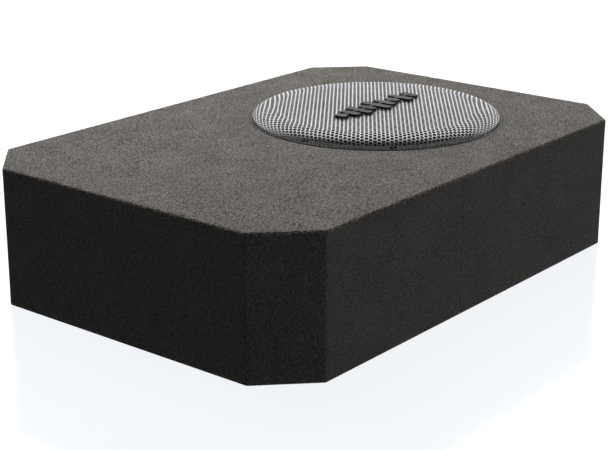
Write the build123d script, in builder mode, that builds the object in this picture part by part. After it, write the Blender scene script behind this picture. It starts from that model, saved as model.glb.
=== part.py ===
from build123d import *
import os
from math import sqrt

# A powered car subwoofer: a flat eight-sided box of fibreboard under car carpet, a shallow
# ten-inch driver that faces up behind a domed grille, and an amplifier sunk into the rear wall.
# X runs along the box, Y from its front to its rear, Z up from the floor under its middle.

os.makedirs("parts", exist_ok=True)

# ---------------------------------------------------------------- driving sizes (mm)

length = 600.0
width = 420.0
height = 145.0
corner_leg = 51.0
carpet = 3.0
corner_round = 4.0
top_edge_round = 2.4
seam_x = -35.0
seam_gap = 0.6

wall = 16.0
bottom_thickness = 16.0
baffle_thickness = 18.0
brace_window_width = 150.0
brace_window_height = 62.0
brace_window_corner = 12.0
foam_end_gap = 12.0
foam_side_gap = 30.0

woofer_x = 96.5
woofer_y = -6.0
cutout_radius = 117.0
screw_circle = 125.0
woofer_screw_count = 8
woofer_screw_length = 18.0
screw_radius = 2.2
cone_travel = 7.0

grille_radius = 137.4
grille_flat_radius = 113.0
grille_rise = 12.0
grille_sheet = 1.0

amp_x = -150.0
amp_flange_width = 172.0
amp_flange_height = 100.0
amp_opening_width = 156.0
amp_opening_height = 84.0
amp_recess = 20.0
amp_case_depth = 72.0
knob_radius = 8.0
knob_length = 14.0
switch_travel = 4.0

# ---------------------------------------------------------------- clearances (mm)

drop_in_gap = 0.5
screw_gap = 0.4
running_gap = 0.05
slide_gap = 0.2
carpet_gap = 0.3


def octagon(inset):
    """The box outline moved in by inset, anticlockwise from the right end's front corner."""
    end = length / 2 - inset
    side = width / 2 - inset
    leg = corner_leg - inset * (2 - sqrt(2))
    right = [(end, leg - side), (end, side - leg), (end - leg, side)]
    left = [(leg - end, side), (-end, side - leg), (-end, leg - side)]
    return right + left + [(leg - end, -side), (end - leg, -side)]


# ---------------------------------------------------------------- box levels

bottom_low = carpet
wall_low = bottom_low + bottom_thickness
baffle_top = height - carpet
baffle_low = baffle_top - baffle_thickness
wall_height = baffle_low - wall_low
wall_middle = (wall_low + baffle_low) / 2
wood_outline = octagon(carpet)
inner_outline = octagon(carpet + wall)
rear_face = width / 2

# ---------------------------------------------------------------- driver levels

gasket_thickness = 1.5
flange_thickness = 2.5
flange_radius = 131.0
rebate_radius = flange_radius + drop_in_gap
rebate_depth = gasket_thickness + flange_thickness
flange_low = baffle_top - flange_thickness
rebate_floor = baffle_top - rebate_depth
step_radius = 114.5
step_outer = cutout_radius - drop_in_gap
seat_top = baffle_top - 5.5
seat_low = seat_top - flange_thickness
seat_inner = 107.0
shelf_radius = 76.0
shelf_top = baffle_top - 45.5
hub_radius = 64.0
hub_inner = 40.0
sheet = 2.4
plate_top = baffle_top - 60.0
plate_thickness = 6.0
magnet_thickness = 16.0
magnet_radius = 68.0
magnet_hole = 32.0
plate_radius = 60.0
yoke_radius = 66.0
pole_radius = 24.5
pole_vent = 6.0
magnet_top = plate_top - plate_thickness
yoke_top = magnet_top - magnet_thickness
yoke_low = yoke_top - plate_thickness
coil_inner = 25.0
former_wall = 0.4
coil_wall = 0.8
coil_height = 16.0
coil_outer = coil_inner + former_wall + coil_wall
plate_hole = coil_outer + 0.6
coil_middle = plate_top - plate_thickness / 2
neck_radius = coil_inner + former_wall
neck_low = baffle_top - 34.0
cone_wall = 1.5
cone_radius = 93.0
lip_width = 7.0
lip_inner = cone_radius - lip_width
former_low = yoke_top + cone_travel + 2.0
cap_radius = 40.0
cap_rise = 12.0
cap_wall = 1.0
rubber = 1.4
roll_rise = 8.0

# ---------------------------------------------------------------- grille levels

ring_outer = 140.0
ring_lip_inner = 119.0
ring_lip = 2.0
ring_stand = 0.6
ring_top = height + ring_stand
ring_lip_top = baffle_top + ring_lip
ring_wall_inner = grille_radius + 0.2
grille_top = height + grille_rise
grille_bend = ring_lip_top + 2.0


def driver_level(level):
    """A level plane with its origin on the driver's axis."""
    return Plane(origin=(woofer_x, woofer_y, level))


driver_section = Plane(origin=(woofer_x, woofer_y, 0), x_dir=(1, 0, 0), z_dir=(0, -1, 0))
driver_axis = Axis((woofer_x, woofer_y, 0), (0, 0, 1))

# The amplifier's plane lies in the rear carpet face: its x runs to the right as seen from
# behind the box, its y up, and depths into the box are negative.
amp_plane = Plane(origin=(amp_x, rear_face, wall_middle), x_dir=(-1, 0, 0), z_dir=(0, 1, 0))

amp_flange = 2.0
amp_wall = 2.5
amp_skin = 1.2
flange_back = -amp_flange
wood_depth = -carpet
floor_front = -amp_recess
floor_back = floor_front - amp_wall
board_thickness = 1.6
board_front = floor_back - 11.5
board_back = board_front - board_thickness
tray_width = amp_opening_width - 2 * drop_in_gap
tray_height = amp_opening_height - 2 * drop_in_gap
pocket_width = tray_width - 2 * amp_wall
pocket_height = tray_height - 2 * amp_wall
amp_screw_radius = 1.9
amp_screw_head = 3.6
amp_screw_length = 14.0
amp_corner_u = (amp_flange_width + amp_opening_width) / 4
amp_corner_v = (amp_flange_height + amp_opening_height) / 4
amp_screw_places = [
    (column * amp_corner_u, row * amp_corner_v)
    for column in (-1, 0, 1)
    for row in (-1, 0, 1)
    if column or row
]

control_row = 20.0
socket_row = -14.0
pot_places = {"level": -50.0, "crossover": -25.0, "boost": 0.0}
phase_u = 28.0
lamp_u = 60.0
lamp_radius = 2.5
rca_places = {"left": -62.0, "right": -46.0}
line_socket_u = -22.0
terminal_u = 18.0
fuse_places = (58.0, 68.0)
fuse_block_u = 63.0

spindle_radius = 3.0
pot_radius = 7.5
pot_front = floor_back - 1.0
boss_radius = 3.5
case_screw_radius = 1.5
case_screw_head = (2.8, 2.0)
board_corner_u = tray_width / 2 - 6.0
board_corner_v = tray_height / 2 - 6.0
board_corners = [(u * board_corner_u, v * board_corner_v) for u in (-1, 1) for v in (-1, 1)]
board_edge = amp_skin + drop_in_gap
case_screw_tip = floor_back - 2.0

switch_cavity = (10.0, 4.2)
switch_body = (16.0, 9.0)
switch_front = floor_back - 0.5
slider_base = (switch_cavity[0] - switch_travel - 2 * slide_gap, switch_cavity[1] - 2 * slide_gap)
slider_nub = 3.0

rca_radius = 4.15
rca_wall = 0.8
rca_neck = 3.8
rca_shoulder = floor_front + 0.5
rca_front = floor_front + 9.0
rca_pin_hole = 1.6
line_socket = (22.0, 13.0)
line_cavity = (19.0, 10.0)
line_front = floor_front + 8.0
line_floor = line_front - 10.5
line_pin_tip = line_floor + 5.0
terminal_block = (40.0, 16.0)
terminal_pitch = 12.0
terminal_base = floor_front + 6.0
terminal_barrier = 1.6
fuse_block = (20.0, 24.0)
fuse_block_front = floor_front + 2.0
fuse_body = (5.0, 19.0)
fuse_front = fuse_block_front + 8.0
fuse_blade = (0.8, 5.2)
fuse_blade_spacing = 10.6
fuse_blade_length = 7.5

# ================================================================ the box

with BuildPart() as top_baffle:
    with BuildSketch(Plane.XY.offset(baffle_low)):
        Polygon(*wood_outline, align=None)
    extrude(amount=baffle_thickness)
    with BuildSketch(driver_level(baffle_top)):
        Circle(rebate_radius)
    extrude(amount=-rebate_depth, mode=Mode.SUBTRACT)
    with BuildSketch(driver_level(rebate_floor)):
        Circle(cutout_radius)
    extrude(amount=-baffle_thickness, mode=Mode.SUBTRACT)
    with BuildSketch(driver_level(rebate_floor)):
        with PolarLocations(screw_circle, woofer_screw_count):
            Circle(screw_radius)
    extrude(amount=ring_lip + rebate_depth - woofer_screw_length, mode=Mode.SUBTRACT)
top_baffle.part.label = "top_baffle"
export_step(top_baffle.part, "parts/top_baffle.step")

with BuildPart() as bottom_panel:
    with BuildSketch(Plane.XY.offset(bottom_low)):
        Polygon(*wood_outline, align=None)
    extrude(amount=bottom_thickness)
bottom_panel.part.label = "bottom_panel"
export_step(bottom_panel.part, "parts/bottom_panel.step")


def wall_outline(side):
    """One mitred wall from above. Sides count anticlockwise from the right end."""
    after = (side + 1) % len(wood_outline)
    return [wood_outline[side], wood_outline[after], inner_outline[after], inner_outline[side]]


for name, side in (("right_wall", 0), ("left_wall", 4), ("front_wall", 6)):
    with BuildPart() as plain_wall:
        with BuildSketch(Plane.XY.offset(wall_low)):
            Polygon(*wall_outline(side), align=None)
        extrude(amount=wall_height)
    plain_wall.part.label = name
    export_step(plain_wall.part, f"parts/{name}.step")

with BuildPart() as corner_walls:
    with BuildSketch(Plane.XY.offset(wall_low)):
        for side in (1, 3, 5, 7):
            Polygon(*wall_outline(side), align=None)
    extrude(amount=wall_height)
corner_walls.part.label = "corner_walls"
export_step(corner_walls.part, "parts/corner_walls.step")

with BuildPart() as rear_wall:
    with BuildSketch(Plane.XY.offset(wall_low)):
        Polygon(*wall_outline(2), align=None)
    extrude(amount=wall_height)
    with BuildSketch(amp_plane.offset(wood_depth)):
        Rectangle(amp_opening_width, amp_opening_height)
    extrude(amount=-wall, mode=Mode.SUBTRACT)
    with BuildSketch(amp_plane.offset(wood_depth)):
        with Locations(*amp_screw_places):
            Circle(amp_screw_radius)
    extrude(amount=-(amp_screw_length + wood_depth), mode=Mode.SUBTRACT)
rear_wall.part.label = "rear_wall"
export_step(rear_wall.part, "parts/rear_wall.step")

brace_x = (woofer_x - cutout_radius + amp_x + amp_opening_width / 2) / 2
brace_span = width - 2 * (carpet + wall)
with BuildPart() as centre_brace:
    with BuildSketch(Plane(origin=(brace_x, 0, wall_middle), x_dir=(0, 1, 0), z_dir=(1, 0, 0))):
        Rectangle(brace_span, wall_height)
        with GridLocations(brace_span / 2, 0, 2, 1):
            RectangleRounded(brace_window_width, brace_window_height, brace_window_corner, mode=Mode.SUBTRACT)
    extrude(amount=wall / 2, both=True)
centre_brace.part.label = "centre_brace"
export_step(centre_brace.part, "parts/centre_brace.step")

foam_length = 2 * (woofer_x - brace_x - wall / 2 - foam_end_gap)
foam_width = brace_span - 2 * foam_side_gap
foam_thickness = 12.0
with BuildPart() as damping_foam:
    with BuildSketch(driver_level(wall_low)):
        Rectangle(foam_length, foam_width)
    extrude(amount=foam_thickness)
damping_foam.part.label = "damping_foam"
export_step(damping_foam.part, "parts/damping_foam.step")

# ---------------------------------------------------------------- carpet

with BuildPart() as carpet_bottom:
    with BuildSketch(Plane.XY):
        outline = Polygon(*octagon(0), align=None)
        fillet(outline.vertices(), corner_round)
    extrude(amount=carpet)
carpet_bottom.part.label = "carpet_bottom"
export_step(carpet_bottom.part, "parts/carpet_bottom.step")

with BuildPart() as carpet_side:
    with BuildSketch(Plane.XY.offset(carpet)):
        outline = Polygon(*octagon(0), align=None)
        fillet(outline.vertices(), corner_round)
        Polygon(*wood_outline, align=None, mode=Mode.SUBTRACT)
        with Locations((seam_x, -width / 2)):
            Rectangle(seam_gap, 3 * carpet, mode=Mode.SUBTRACT)
    extrude(amount=height - 2 * carpet)
    with BuildSketch(amp_plane):
        Rectangle(amp_flange_width + 2 * carpet_gap, amp_flange_height + 2 * carpet_gap)
    extrude(amount=-carpet, mode=Mode.SUBTRACT)
carpet_side.part.label = "carpet_side"
export_step(carpet_side.part, "parts/carpet_side.step")

with BuildPart() as carpet_top:
    with BuildSketch(Plane.XY.offset(baffle_top)):
        outline = Polygon(*octagon(0), align=None)
        fillet(outline.vertices(), corner_round)
    extrude(amount=carpet)
    fillet(carpet_top.faces().sort_by(Axis.Z)[-1].edges(), top_edge_round)
    with BuildSketch(driver_level(baffle_top)):
        Circle(ring_outer + carpet_gap)
    extrude(amount=carpet, mode=Mode.SUBTRACT)
carpet_top.part.label = "carpet_top"
export_step(carpet_top.part, "parts/carpet_top.step")

# ================================================================ the grille

with BuildPart() as grille_ring:
    with BuildSketch(driver_section):
        with BuildLine():
            Polyline(
                (ring_lip_inner, baffle_top),
                (ring_outer, baffle_top),
                (ring_outer, ring_top),
                (ring_wall_inner, ring_top),
                (ring_wall_inner, ring_lip_top),
                (ring_lip_inner, ring_lip_top),
                close=True,
            )
        make_face()
    revolve(axis=driver_axis)
    fillet(grille_ring.edges().filter_by(GeomType.CIRCLE).group_by(Axis.Z)[-1], 0.9)
    with BuildSketch(driver_level(baffle_top)):
        with PolarLocations(screw_circle, woofer_screw_count):
            Circle(screw_radius + screw_gap)
    extrude(amount=ring_lip, mode=Mode.SUBTRACT)
grille_ring.part.label = "grille_ring"
export_step(grille_ring.part, "parts/grille_ring.step")

rim_run = grille_radius - grille_flat_radius
rim_climb = grille_top - grille_bend
with BuildPart() as grille_mesh:
    with BuildSketch(driver_section):
        with BuildLine():
            Line((grille_radius, ring_lip_top), (grille_radius, grille_bend))
            EllipticalCenterArc((grille_flat_radius, grille_bend), rim_run, rim_climb, 0, arc_size=90)
            Line((grille_flat_radius, grille_top), (0, grille_top))
            Line((0, grille_top), (0, grille_top - grille_sheet))
            Line((0, grille_top - grille_sheet), (grille_flat_radius, grille_top - grille_sheet))
            EllipticalCenterArc(
                (grille_flat_radius, grille_bend), rim_run - grille_sheet, rim_climb - grille_sheet, 0, arc_size=90
            )
            Line((grille_radius - grille_sheet, grille_bend), (grille_radius - grille_sheet, ring_lip_top))
            Line((grille_radius - grille_sheet, ring_lip_top), (grille_radius, ring_lip_top))
        make_face()
    revolve(axis=driver_axis)
grille_mesh.part.label = "grille_mesh"
export_step(grille_mesh.part, "parts/grille_mesh.step")

# A plain moulded badge: nine bars of uneven height on one rail.
badge_heights = (14.0, 24.0, 33.0, 20.0, 38.0, 28.0, 17.0, 31.0, 21.0)
badge_pitch = 15.5
badge_bar = 10.0
badge_rise = 2.5
with BuildPart() as grille_badge:
    with BuildSketch(driver_level(grille_top)):
        Rectangle(badge_pitch * (len(badge_heights) - 1), 3.0)
        for index, bar_height in enumerate(badge_heights):
            with Locations(((index - (len(badge_heights) - 1) / 2) * badge_pitch, 0)):
                RectangleRounded(badge_bar, bar_height, 2.0)
    extrude(amount=badge_rise)
    fillet(grille_badge.faces().sort_by(Axis.Z)[-1].edges(), 0.5)
grille_badge.part.label = "grille_badge"
export_step(grille_badge.part, "parts/grille_badge.step")

# ================================================================ the driver

window_low = shelf_top + 2.0
window_high = seat_low - 6.0
window_count = 6
arm_width = 16.0
terminal_near = shelf_radius + 7.0
terminal_far = terminal_near + 9.0
terminal_width = 20.0
with BuildPart() as woofer_basket:
    with BuildSketch(driver_section):
        with BuildLine():
            Polyline(
                (flange_radius, baffle_top),
                (step_radius, baffle_top),
                (step_radius, seat_top),
                (seat_inner, seat_top),
                (shelf_radius, shelf_top),
                (hub_radius, shelf_top),
                (hub_radius, plate_top + sheet),
                (hub_inner, plate_top + sheet),
                (hub_inner, plate_top),
                (hub_radius + sheet, plate_top),
                (hub_radius + sheet, shelf_top - sheet),
                (shelf_radius + sheet, shelf_top - sheet),
                (seat_inner + sheet, seat_low),
                (step_outer, seat_low),
                (step_outer, flange_low),
                (flange_radius, flange_low),
                close=True,
            )
        make_face()
    revolve(axis=driver_axis)
    with BuildSketch(driver_level(window_low)):
        Circle(seat_inner - 1)
        Circle(shelf_radius + 3, mode=Mode.SUBTRACT)
        with PolarLocations((seat_inner + shelf_radius) / 2, window_count, start_angle=30):
            Rectangle(seat_inner - shelf_radius, arm_width, mode=Mode.SUBTRACT)
    extrude(amount=window_high - window_low, mode=Mode.SUBTRACT)
    with BuildSketch(driver_level(shelf_top - sheet)):
        with Locations(((shelf_radius + terminal_far) / -2, 0)):
            Rectangle(terminal_far - shelf_radius + 2, terminal_width + 2)
    extrude(amount=sheet)
    with BuildSketch(driver_level(flange_low)):
        with PolarLocations(screw_circle, woofer_screw_count):
            Circle(screw_radius + screw_gap)
    extrude(amount=flange_thickness, mode=Mode.SUBTRACT)
woofer_basket.part.label = "woofer_basket"
export_step(woofer_basket.part, "parts/woofer_basket.step")

with BuildPart() as woofer_gasket:
    with BuildSketch(driver_level(rebate_floor)):
        Circle(flange_radius)
        Circle(cutout_radius, mode=Mode.SUBTRACT)
        with PolarLocations(screw_circle, woofer_screw_count):
            Circle(screw_radius + screw_gap, mode=Mode.SUBTRACT)
    extrude(amount=gasket_thickness)
woofer_gasket.part.label = "woofer_gasket"
export_step(woofer_gasket.part, "parts/woofer_gasket.step")

screw_head_radius = 4.2
screw_head = 2.6
with BuildPart() as woofer_screws:
    with BuildSketch(driver_level(ring_lip_top)):
        with PolarLocations(screw_circle, woofer_screw_count):
            Circle(screw_head_radius)
    extrude(amount=screw_head)
    fillet(woofer_screws.edges().group_by(Axis.Z)[-1], 1.2)
    with BuildSketch(driver_level(ring_lip_top)):
        with PolarLocations(screw_circle, woofer_screw_count):
            Circle(screw_radius)
    extrude(amount=-woofer_screw_length)
woofer_screws.part.label = "woofer_screws"
export_step(woofer_screws.part, "parts/woofer_screws.step")

roll_centre = (cone_radius + seat_inner + 2) / 2
roll_top = seat_top + rubber + roll_rise
with BuildPart() as surround:
    with BuildSketch(driver_section):
        with BuildLine():
            Line((lip_inner + 0.3, seat_top), (lip_inner + 0.3, seat_top + rubber))
            Line((lip_inner + 0.3, seat_top + rubber), (cone_radius, seat_top + rubber))
            ThreePointArc(
                (cone_radius, seat_top + rubber),
                (roll_centre, roll_top),
                (seat_inner + 2, seat_top + rubber),
            )
            Line((seat_inner + 2, seat_top + rubber), (step_radius - 0.3, seat_top + rubber))
            Line((step_radius - 0.3, seat_top + rubber), (step_radius - 0.3, seat_top))
            Line((step_radius - 0.3, seat_top), (seat_inner + 2 - rubber, seat_top))
            ThreePointArc(
                (seat_inner + 2 - rubber, seat_top),
                (roll_centre, roll_top - rubber),
                (cone_radius + rubber, seat_top),
            )
            Line((cone_radius + rubber, seat_top), (lip_inner + 0.3, seat_top))
        make_face()
    revolve(axis=driver_axis)
surround.part.label = "surround"
export_step(surround.part, "parts/surround.step")

cone_slope = (seat_top - neck_low) / (lip_inner - neck_radius)
with BuildPart() as cone:
    with BuildSketch(driver_section):
        with BuildLine():
            Polyline(
                (cone_radius, seat_top),
                (lip_inner, seat_top),
                (neck_radius, neck_low),
                (neck_radius, neck_low - cone_wall),
                (lip_inner, seat_top - cone_wall),
                (cone_radius, seat_top - cone_wall),
                close=True,
            )
        make_face()
    revolve(axis=driver_axis)
cone.part.label = "cone"
export_step(cone.part, "parts/cone.step")

cap_foot = neck_low + (cap_radius - neck_radius) * cone_slope
with BuildPart() as dust_cap:
    with BuildSketch(driver_section):
        with BuildLine():
            cap_outside = SagittaArc((-cap_radius, cap_foot), (cap_radius, cap_foot), cap_rise)
            cap_inside = SagittaArc(
                (cap_wall - cap_radius, cap_foot), (cap_radius - cap_wall, cap_foot), cap_rise - cap_wall
            )
            Line((-cap_radius, cap_foot), (cap_wall - cap_radius, cap_foot))
            Line((cap_radius - cap_wall, cap_foot), (cap_radius, cap_foot))
        make_face()
        with Locations((-cap_radius, cap_foot)):
            Rectangle(2 * cap_radius, 6 * cap_rise, mode=Mode.SUBTRACT)
    revolve(axis=driver_axis)
dust_cap.part.label = "dust_cap"
export_step(dust_cap.part, "parts/dust_cap.step")

spider_low = shelf_top
spider_sheet = 0.8
spider_waves = 4
spider_swing = 1.6
spider_outer = shelf_radius - 0.8
wave_start = neck_radius + 4.0
wave_length = (hub_radius - 1.0 - wave_start) / spider_waves
with BuildPart() as spider:
    with BuildSketch(driver_section):
        with BuildLine():
            for level in (spider_low, spider_low + spider_sheet):
                Line((neck_radius, level), (wave_start, level))
                Line((hub_radius - 1.0, level), (spider_outer, level))
                for wave in range(spider_waves):
                    left = wave_start + wave * wave_length
                    middle = left + wave_length / 2
                    right = left + wave_length
                    crest = (left + wave_length / 4, level + spider_swing)
                    trough = (middle + wave_length / 4, level - spider_swing)
                    ThreePointArc((left, level), crest, (middle, level))
                    ThreePointArc((middle, level), trough, (right, level))
            Line((neck_radius, spider_low), (neck_radius, spider_low + spider_sheet))
            Line((spider_outer, spider_low), (spider_outer, spider_low + spider_sheet))
        make_face()
    revolve(axis=driver_axis)
spider.part.label = "spider"
export_step(spider.part, "parts/spider.step")

driver_rings = {
    "coil_former": (neck_radius, coil_inner, former_low, neck_low),
    "voice_coil": (coil_outer, neck_radius, coil_middle - coil_height / 2, coil_middle + coil_height / 2),
    "top_plate": (plate_radius, plate_hole, magnet_top, plate_top),
    "magnet": (magnet_radius, magnet_hole, yoke_top, magnet_top),
}
for name, (outer, inner, low, high) in driver_rings.items():
    with BuildPart() as driver_ring:
        with BuildSketch(driver_level(low)):
            Circle(outer)
            Circle(inner, mode=Mode.SUBTRACT)
        extrude(amount=high - low)
    driver_ring.part.label = name
    export_step(driver_ring.part, f"parts/{name}.step")

with BuildPart() as pole_yoke:
    with BuildSketch(driver_level(yoke_low)):
        Circle(yoke_radius)
    extrude(amount=plate_thickness)
    with BuildSketch(driver_level(yoke_top)):
        Circle(pole_radius)
    extrude(amount=plate_top - yoke_top)
    chamfer(pole_yoke.edges().group_by(Axis.Z)[0], 1.5)
    with BuildSketch(driver_level(yoke_low)):
        Circle(pole_vent)
    extrude(amount=plate_top - yoke_low, mode=Mode.SUBTRACT)
pole_yoke.part.label = "pole_yoke"
export_step(pole_yoke.part, "parts/pole_yoke.step")

terminal_rise = 9.0
tab_spacing = 10.0
with BuildPart() as speaker_terminal:
    with BuildSketch(driver_level(shelf_top)):
        with Locations(((terminal_near + terminal_far) / -2, 0)):
            Rectangle(terminal_far - terminal_near, terminal_width)
    extrude(amount=terminal_rise)
    chamfer(speaker_terminal.edges().group_by(Axis.Z)[-1], 0.8)
speaker_terminal.part.label = "speaker_terminal"
export_step(speaker_terminal.part, "parts/speaker_terminal.step")

# The two flexible leads rise from the terminal and bend over to the back of the cone.
tinsel_radius = 0.8
tinsel_end = 56.0
tinsel_top = shelf_top + terminal_rise + 7.0
tinsel_foot = terminal_near + 3.0
tinsel_meet = neck_low - cone_wall + (tinsel_end - neck_radius) * cone_slope - 0.4
with BuildPart() as tinsel_leads:
    for side in (-1, 1):
        side_plane = Plane(origin=(woofer_x, woofer_y + side * tab_spacing / 2, 0), x_dir=(-1, 0, 0), z_dir=(0, 1, 0))
        with BuildLine(side_plane) as tinsel_path:
            FilletPolyline(
                (tinsel_foot, shelf_top + terminal_rise),
                (tinsel_foot, tinsel_top),
                (tinsel_end, tinsel_top - 10.0),
                (tinsel_end, tinsel_meet),
                radius=3.0,
            )
        with BuildSketch(Plane(origin=tinsel_path.line @ 0, z_dir=tinsel_path.line % 0)):
            Circle(tinsel_radius)
        sweep(path=tinsel_path.line)
tinsel_leads.part.label = "tinsel_leads"
export_step(tinsel_leads.part, "parts/tinsel_leads.step")

# The speaker leads run from the amplifier's case through the brace to the terminal.
lead_radius = 1.6
lead_level = wall_middle - 18.5
lead_spread = 4.0
lead_corners = (20.0, 24.0, 20.0, 9.0)
case_back = rear_face - amp_case_depth
lead_start_x = amp_x + tray_width / 2 - 24.0
lead_end_x = woofer_x - (terminal_near + terminal_far) / 2
with BuildPart() as speaker_leads:
    for side in (-1, 1):
        with BuildLine() as lead_path:
            FilletPolyline(
                (lead_start_x + lead_spread * side, case_back, lead_level),
                (lead_start_x + lead_spread * side, case_back - 34, lead_level),
                (brace_x - 5, case_back - 76 + lead_spread * side, lead_level),
                (brace_x + 34, 34 + tab_spacing / 2 * side, lead_level + 4),
                (lead_end_x, woofer_y + tab_spacing / 2 * side, lead_level + 8),
                (lead_end_x, woofer_y + tab_spacing / 2 * side, shelf_top - sheet),
                radius=lead_corners,
            )
        with BuildSketch(Plane(origin=lead_path.line @ 0, z_dir=lead_path.line % 0)):
            Circle(lead_radius)
        sweep(path=lead_path.line)
speaker_leads.part.label = "speaker_leads"
export_step(speaker_leads.part, "parts/speaker_leads.step")

# ================================================================ the amplifier


def square_holes(places, size, front, back):
    """Blocks that cut equal square-cornered holes through the amplifier's panels."""
    with BuildPart() as block:
        with BuildSketch(amp_plane.offset(front)):
            with Locations(*places):
                Rectangle(*size)
        extrude(amount=back - front)
    return block.part


with BuildPart() as amp_panel:
    with BuildSketch(amp_plane):
        RectangleRounded(amp_flange_width, amp_flange_height, 6)
    extrude(amount=-amp_flange)
    with BuildSketch(amp_plane):
        RectangleRounded(tray_width, tray_height, 4)
    extrude(amount=floor_back)
    with BuildSketch(amp_plane):
        RectangleRounded(pocket_width, pocket_height, 4)
    extrude(amount=floor_front, mode=Mode.SUBTRACT)
    with BuildSketch(amp_plane.offset(floor_back)):
        with Locations(*board_corners):
            Circle(boss_radius)
    extrude(amount=board_front - floor_back)
    with BuildSketch(amp_plane.offset(board_front)):
        with Locations(*board_corners):
            Circle(case_screw_radius)
    extrude(amount=case_screw_tip - board_front, mode=Mode.SUBTRACT)
    with BuildSketch(amp_plane.offset(floor_front)):
        with Locations(*[(place, control_row) for place in pot_places.values()]):
            Circle(spindle_radius + screw_gap)
        with Locations(*[(place, socket_row) for place in rca_places.values()]):
            Circle(rca_radius + screw_gap)
        with Locations((lamp_u, control_row)):
            Circle(lamp_radius + running_gap)
        with Locations((phase_u, control_row)):
            Rectangle(slider_nub + switch_travel + 4 * slide_gap, slider_nub + 4 * slide_gap)
        with Locations((line_socket_u, socket_row)):
            Rectangle(line_socket[0] + 2 * screw_gap, line_socket[1] + 2 * screw_gap)
        with Locations((fuse_block_u, socket_row)):
            Rectangle(fuse_block[0] + 2 * screw_gap, fuse_block[1] + 2 * screw_gap)
    extrude(amount=-amp_wall, mode=Mode.SUBTRACT)
    with Locations(amp_plane):
        with Locations(*amp_screw_places):
            CounterSinkHole(amp_screw_radius + 0.1, amp_screw_head + 0.1, depth=amp_flange + 1)
amp_panel.part.label = "amp_panel"
export_step(amp_panel.part, "parts/amp_panel.step")

with BuildPart() as amp_gasket:
    with BuildSketch(amp_plane.offset(flange_back)):
        RectangleRounded(amp_flange_width, amp_flange_height, 6)
        Rectangle(amp_opening_width, amp_opening_height, mode=Mode.SUBTRACT)
        with Locations(*amp_screw_places):
            Circle(amp_screw_radius + screw_gap, mode=Mode.SUBTRACT)
    extrude(amount=wood_depth - flange_back)
amp_gasket.part.label = "amp_gasket"
export_step(amp_gasket.part, "parts/amp_gasket.step")

with BuildPart() as amp_screws:
    with BuildSketch(amp_plane):
        with Locations(*amp_screw_places):
            Circle(amp_screw_radius)
    extrude(amount=-amp_screw_length)
    for place in amp_screw_places:
        with Locations(amp_plane):
            with Locations((place[0], place[1], -(amp_screw_head - amp_screw_radius) / 2)):
                Cone(amp_screw_radius, amp_screw_head, amp_screw_head - amp_screw_radius)
amp_screws.part.label = "amp_screws"
export_step(amp_screws.part, "parts/amp_screws.step")

with BuildPart() as amp_case:
    with BuildSketch(amp_plane.offset(floor_back)):
        RectangleRounded(tray_width, tray_height, 4)
    extrude(amount=-amp_case_depth - floor_back)
    with BuildSketch(amp_plane.offset(floor_back)):
        RectangleRounded(tray_width - 2 * amp_skin, tray_height - 2 * amp_skin, 4 - amp_skin)
    extrude(amount=-amp_case_depth + amp_skin - floor_back, mode=Mode.SUBTRACT)
    with BuildSketch(amp_plane.offset(-amp_case_depth)):
        with Locations(*board_corners):
            Circle(case_screw_radius + 0.1)
    extrude(amount=amp_skin, mode=Mode.SUBTRACT)
amp_case.part.label = "amp_case"
export_step(amp_case.part, "parts/amp_case.step")

with BuildPart() as case_screws:
    with BuildSketch(amp_plane.offset(-amp_case_depth)):
        with Locations(*board_corners):
            Circle(case_screw_head[0])
    extrude(amount=-case_screw_head[1])
    with BuildSketch(amp_plane.offset(-amp_case_depth)):
        with Locations(*board_corners):
            Circle(case_screw_radius)
    extrude(amount=amp_case_depth + case_screw_tip)
case_screws.part.label = "case_screws"
export_step(case_screws.part, "parts/case_screws.step")

board_width = tray_width - 2 * board_edge
board_height = tray_height - 2 * board_edge
with BuildPart() as circuit_board:
    with BuildSketch(amp_plane.offset(board_front)):
        RectangleRounded(board_width, board_height, 3)
        with Locations(*board_corners):
            Circle(case_screw_radius + 0.1, mode=Mode.SUBTRACT)
    extrude(amount=-board_thickness)
circuit_board.part.label = "circuit_board"
export_step(circuit_board.part, "parts/circuit_board.step")

spreader = (108.0, 11.0)
spreader_centre = (-6.0, 3.5)
spreader_thickness = 5.0
transistor = (10.0, 10.0)
transistor_thickness = 4.0
transistor_pitch = 18.0
clamp_thickness = 1.2
transistor_front = floor_back - spreader_thickness
clamp_front = transistor_front - transistor_thickness
with BuildPart() as heat_spreader:
    with BuildSketch(amp_plane.offset(floor_back)):
        with Locations(spreader_centre):
            Rectangle(*spreader)
    extrude(amount=-spreader_thickness)
heat_spreader.part.label = "heat_spreader"
export_step(heat_spreader.part, "parts/heat_spreader.step")

with BuildPart() as transistors:
    with BuildSketch(amp_plane.offset(transistor_front)):
        with Locations(spreader_centre):
            with GridLocations(transistor_pitch, 0, 6, 1):
                Rectangle(*transistor)
    extrude(amount=-transistor_thickness)
transistors.part.label = "transistors"
export_step(transistors.part, "parts/transistors.step")

with BuildPart() as transistor_clamp:
    with BuildSketch(amp_plane.offset(clamp_front)):
        with Locations(spreader_centre):
            RectangleRounded(spreader[0], 6.0, 2.0)
    extrude(amount=-clamp_thickness)
transistor_clamp.part.label = "transistor_clamp"
export_step(transistor_clamp.part, "parts/transistor_clamp.step")

capacitor_radius = 8.0
capacitor_length = 30.0
with BuildPart() as capacitors:
    with BuildSketch(amp_plane.offset(board_back)):
        with Locations((-28.0, 14.0)):
            with GridLocations(2 * capacitor_radius + 3, 0, 4, 1):
                Circle(capacitor_radius)
    extrude(amount=-capacitor_length)
    fillet(capacitors.edges().group_by(Axis.Y)[0], 1.5)
capacitors.part.label = "capacitors"
export_step(capacitors.part, "parts/capacitors.step")

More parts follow.
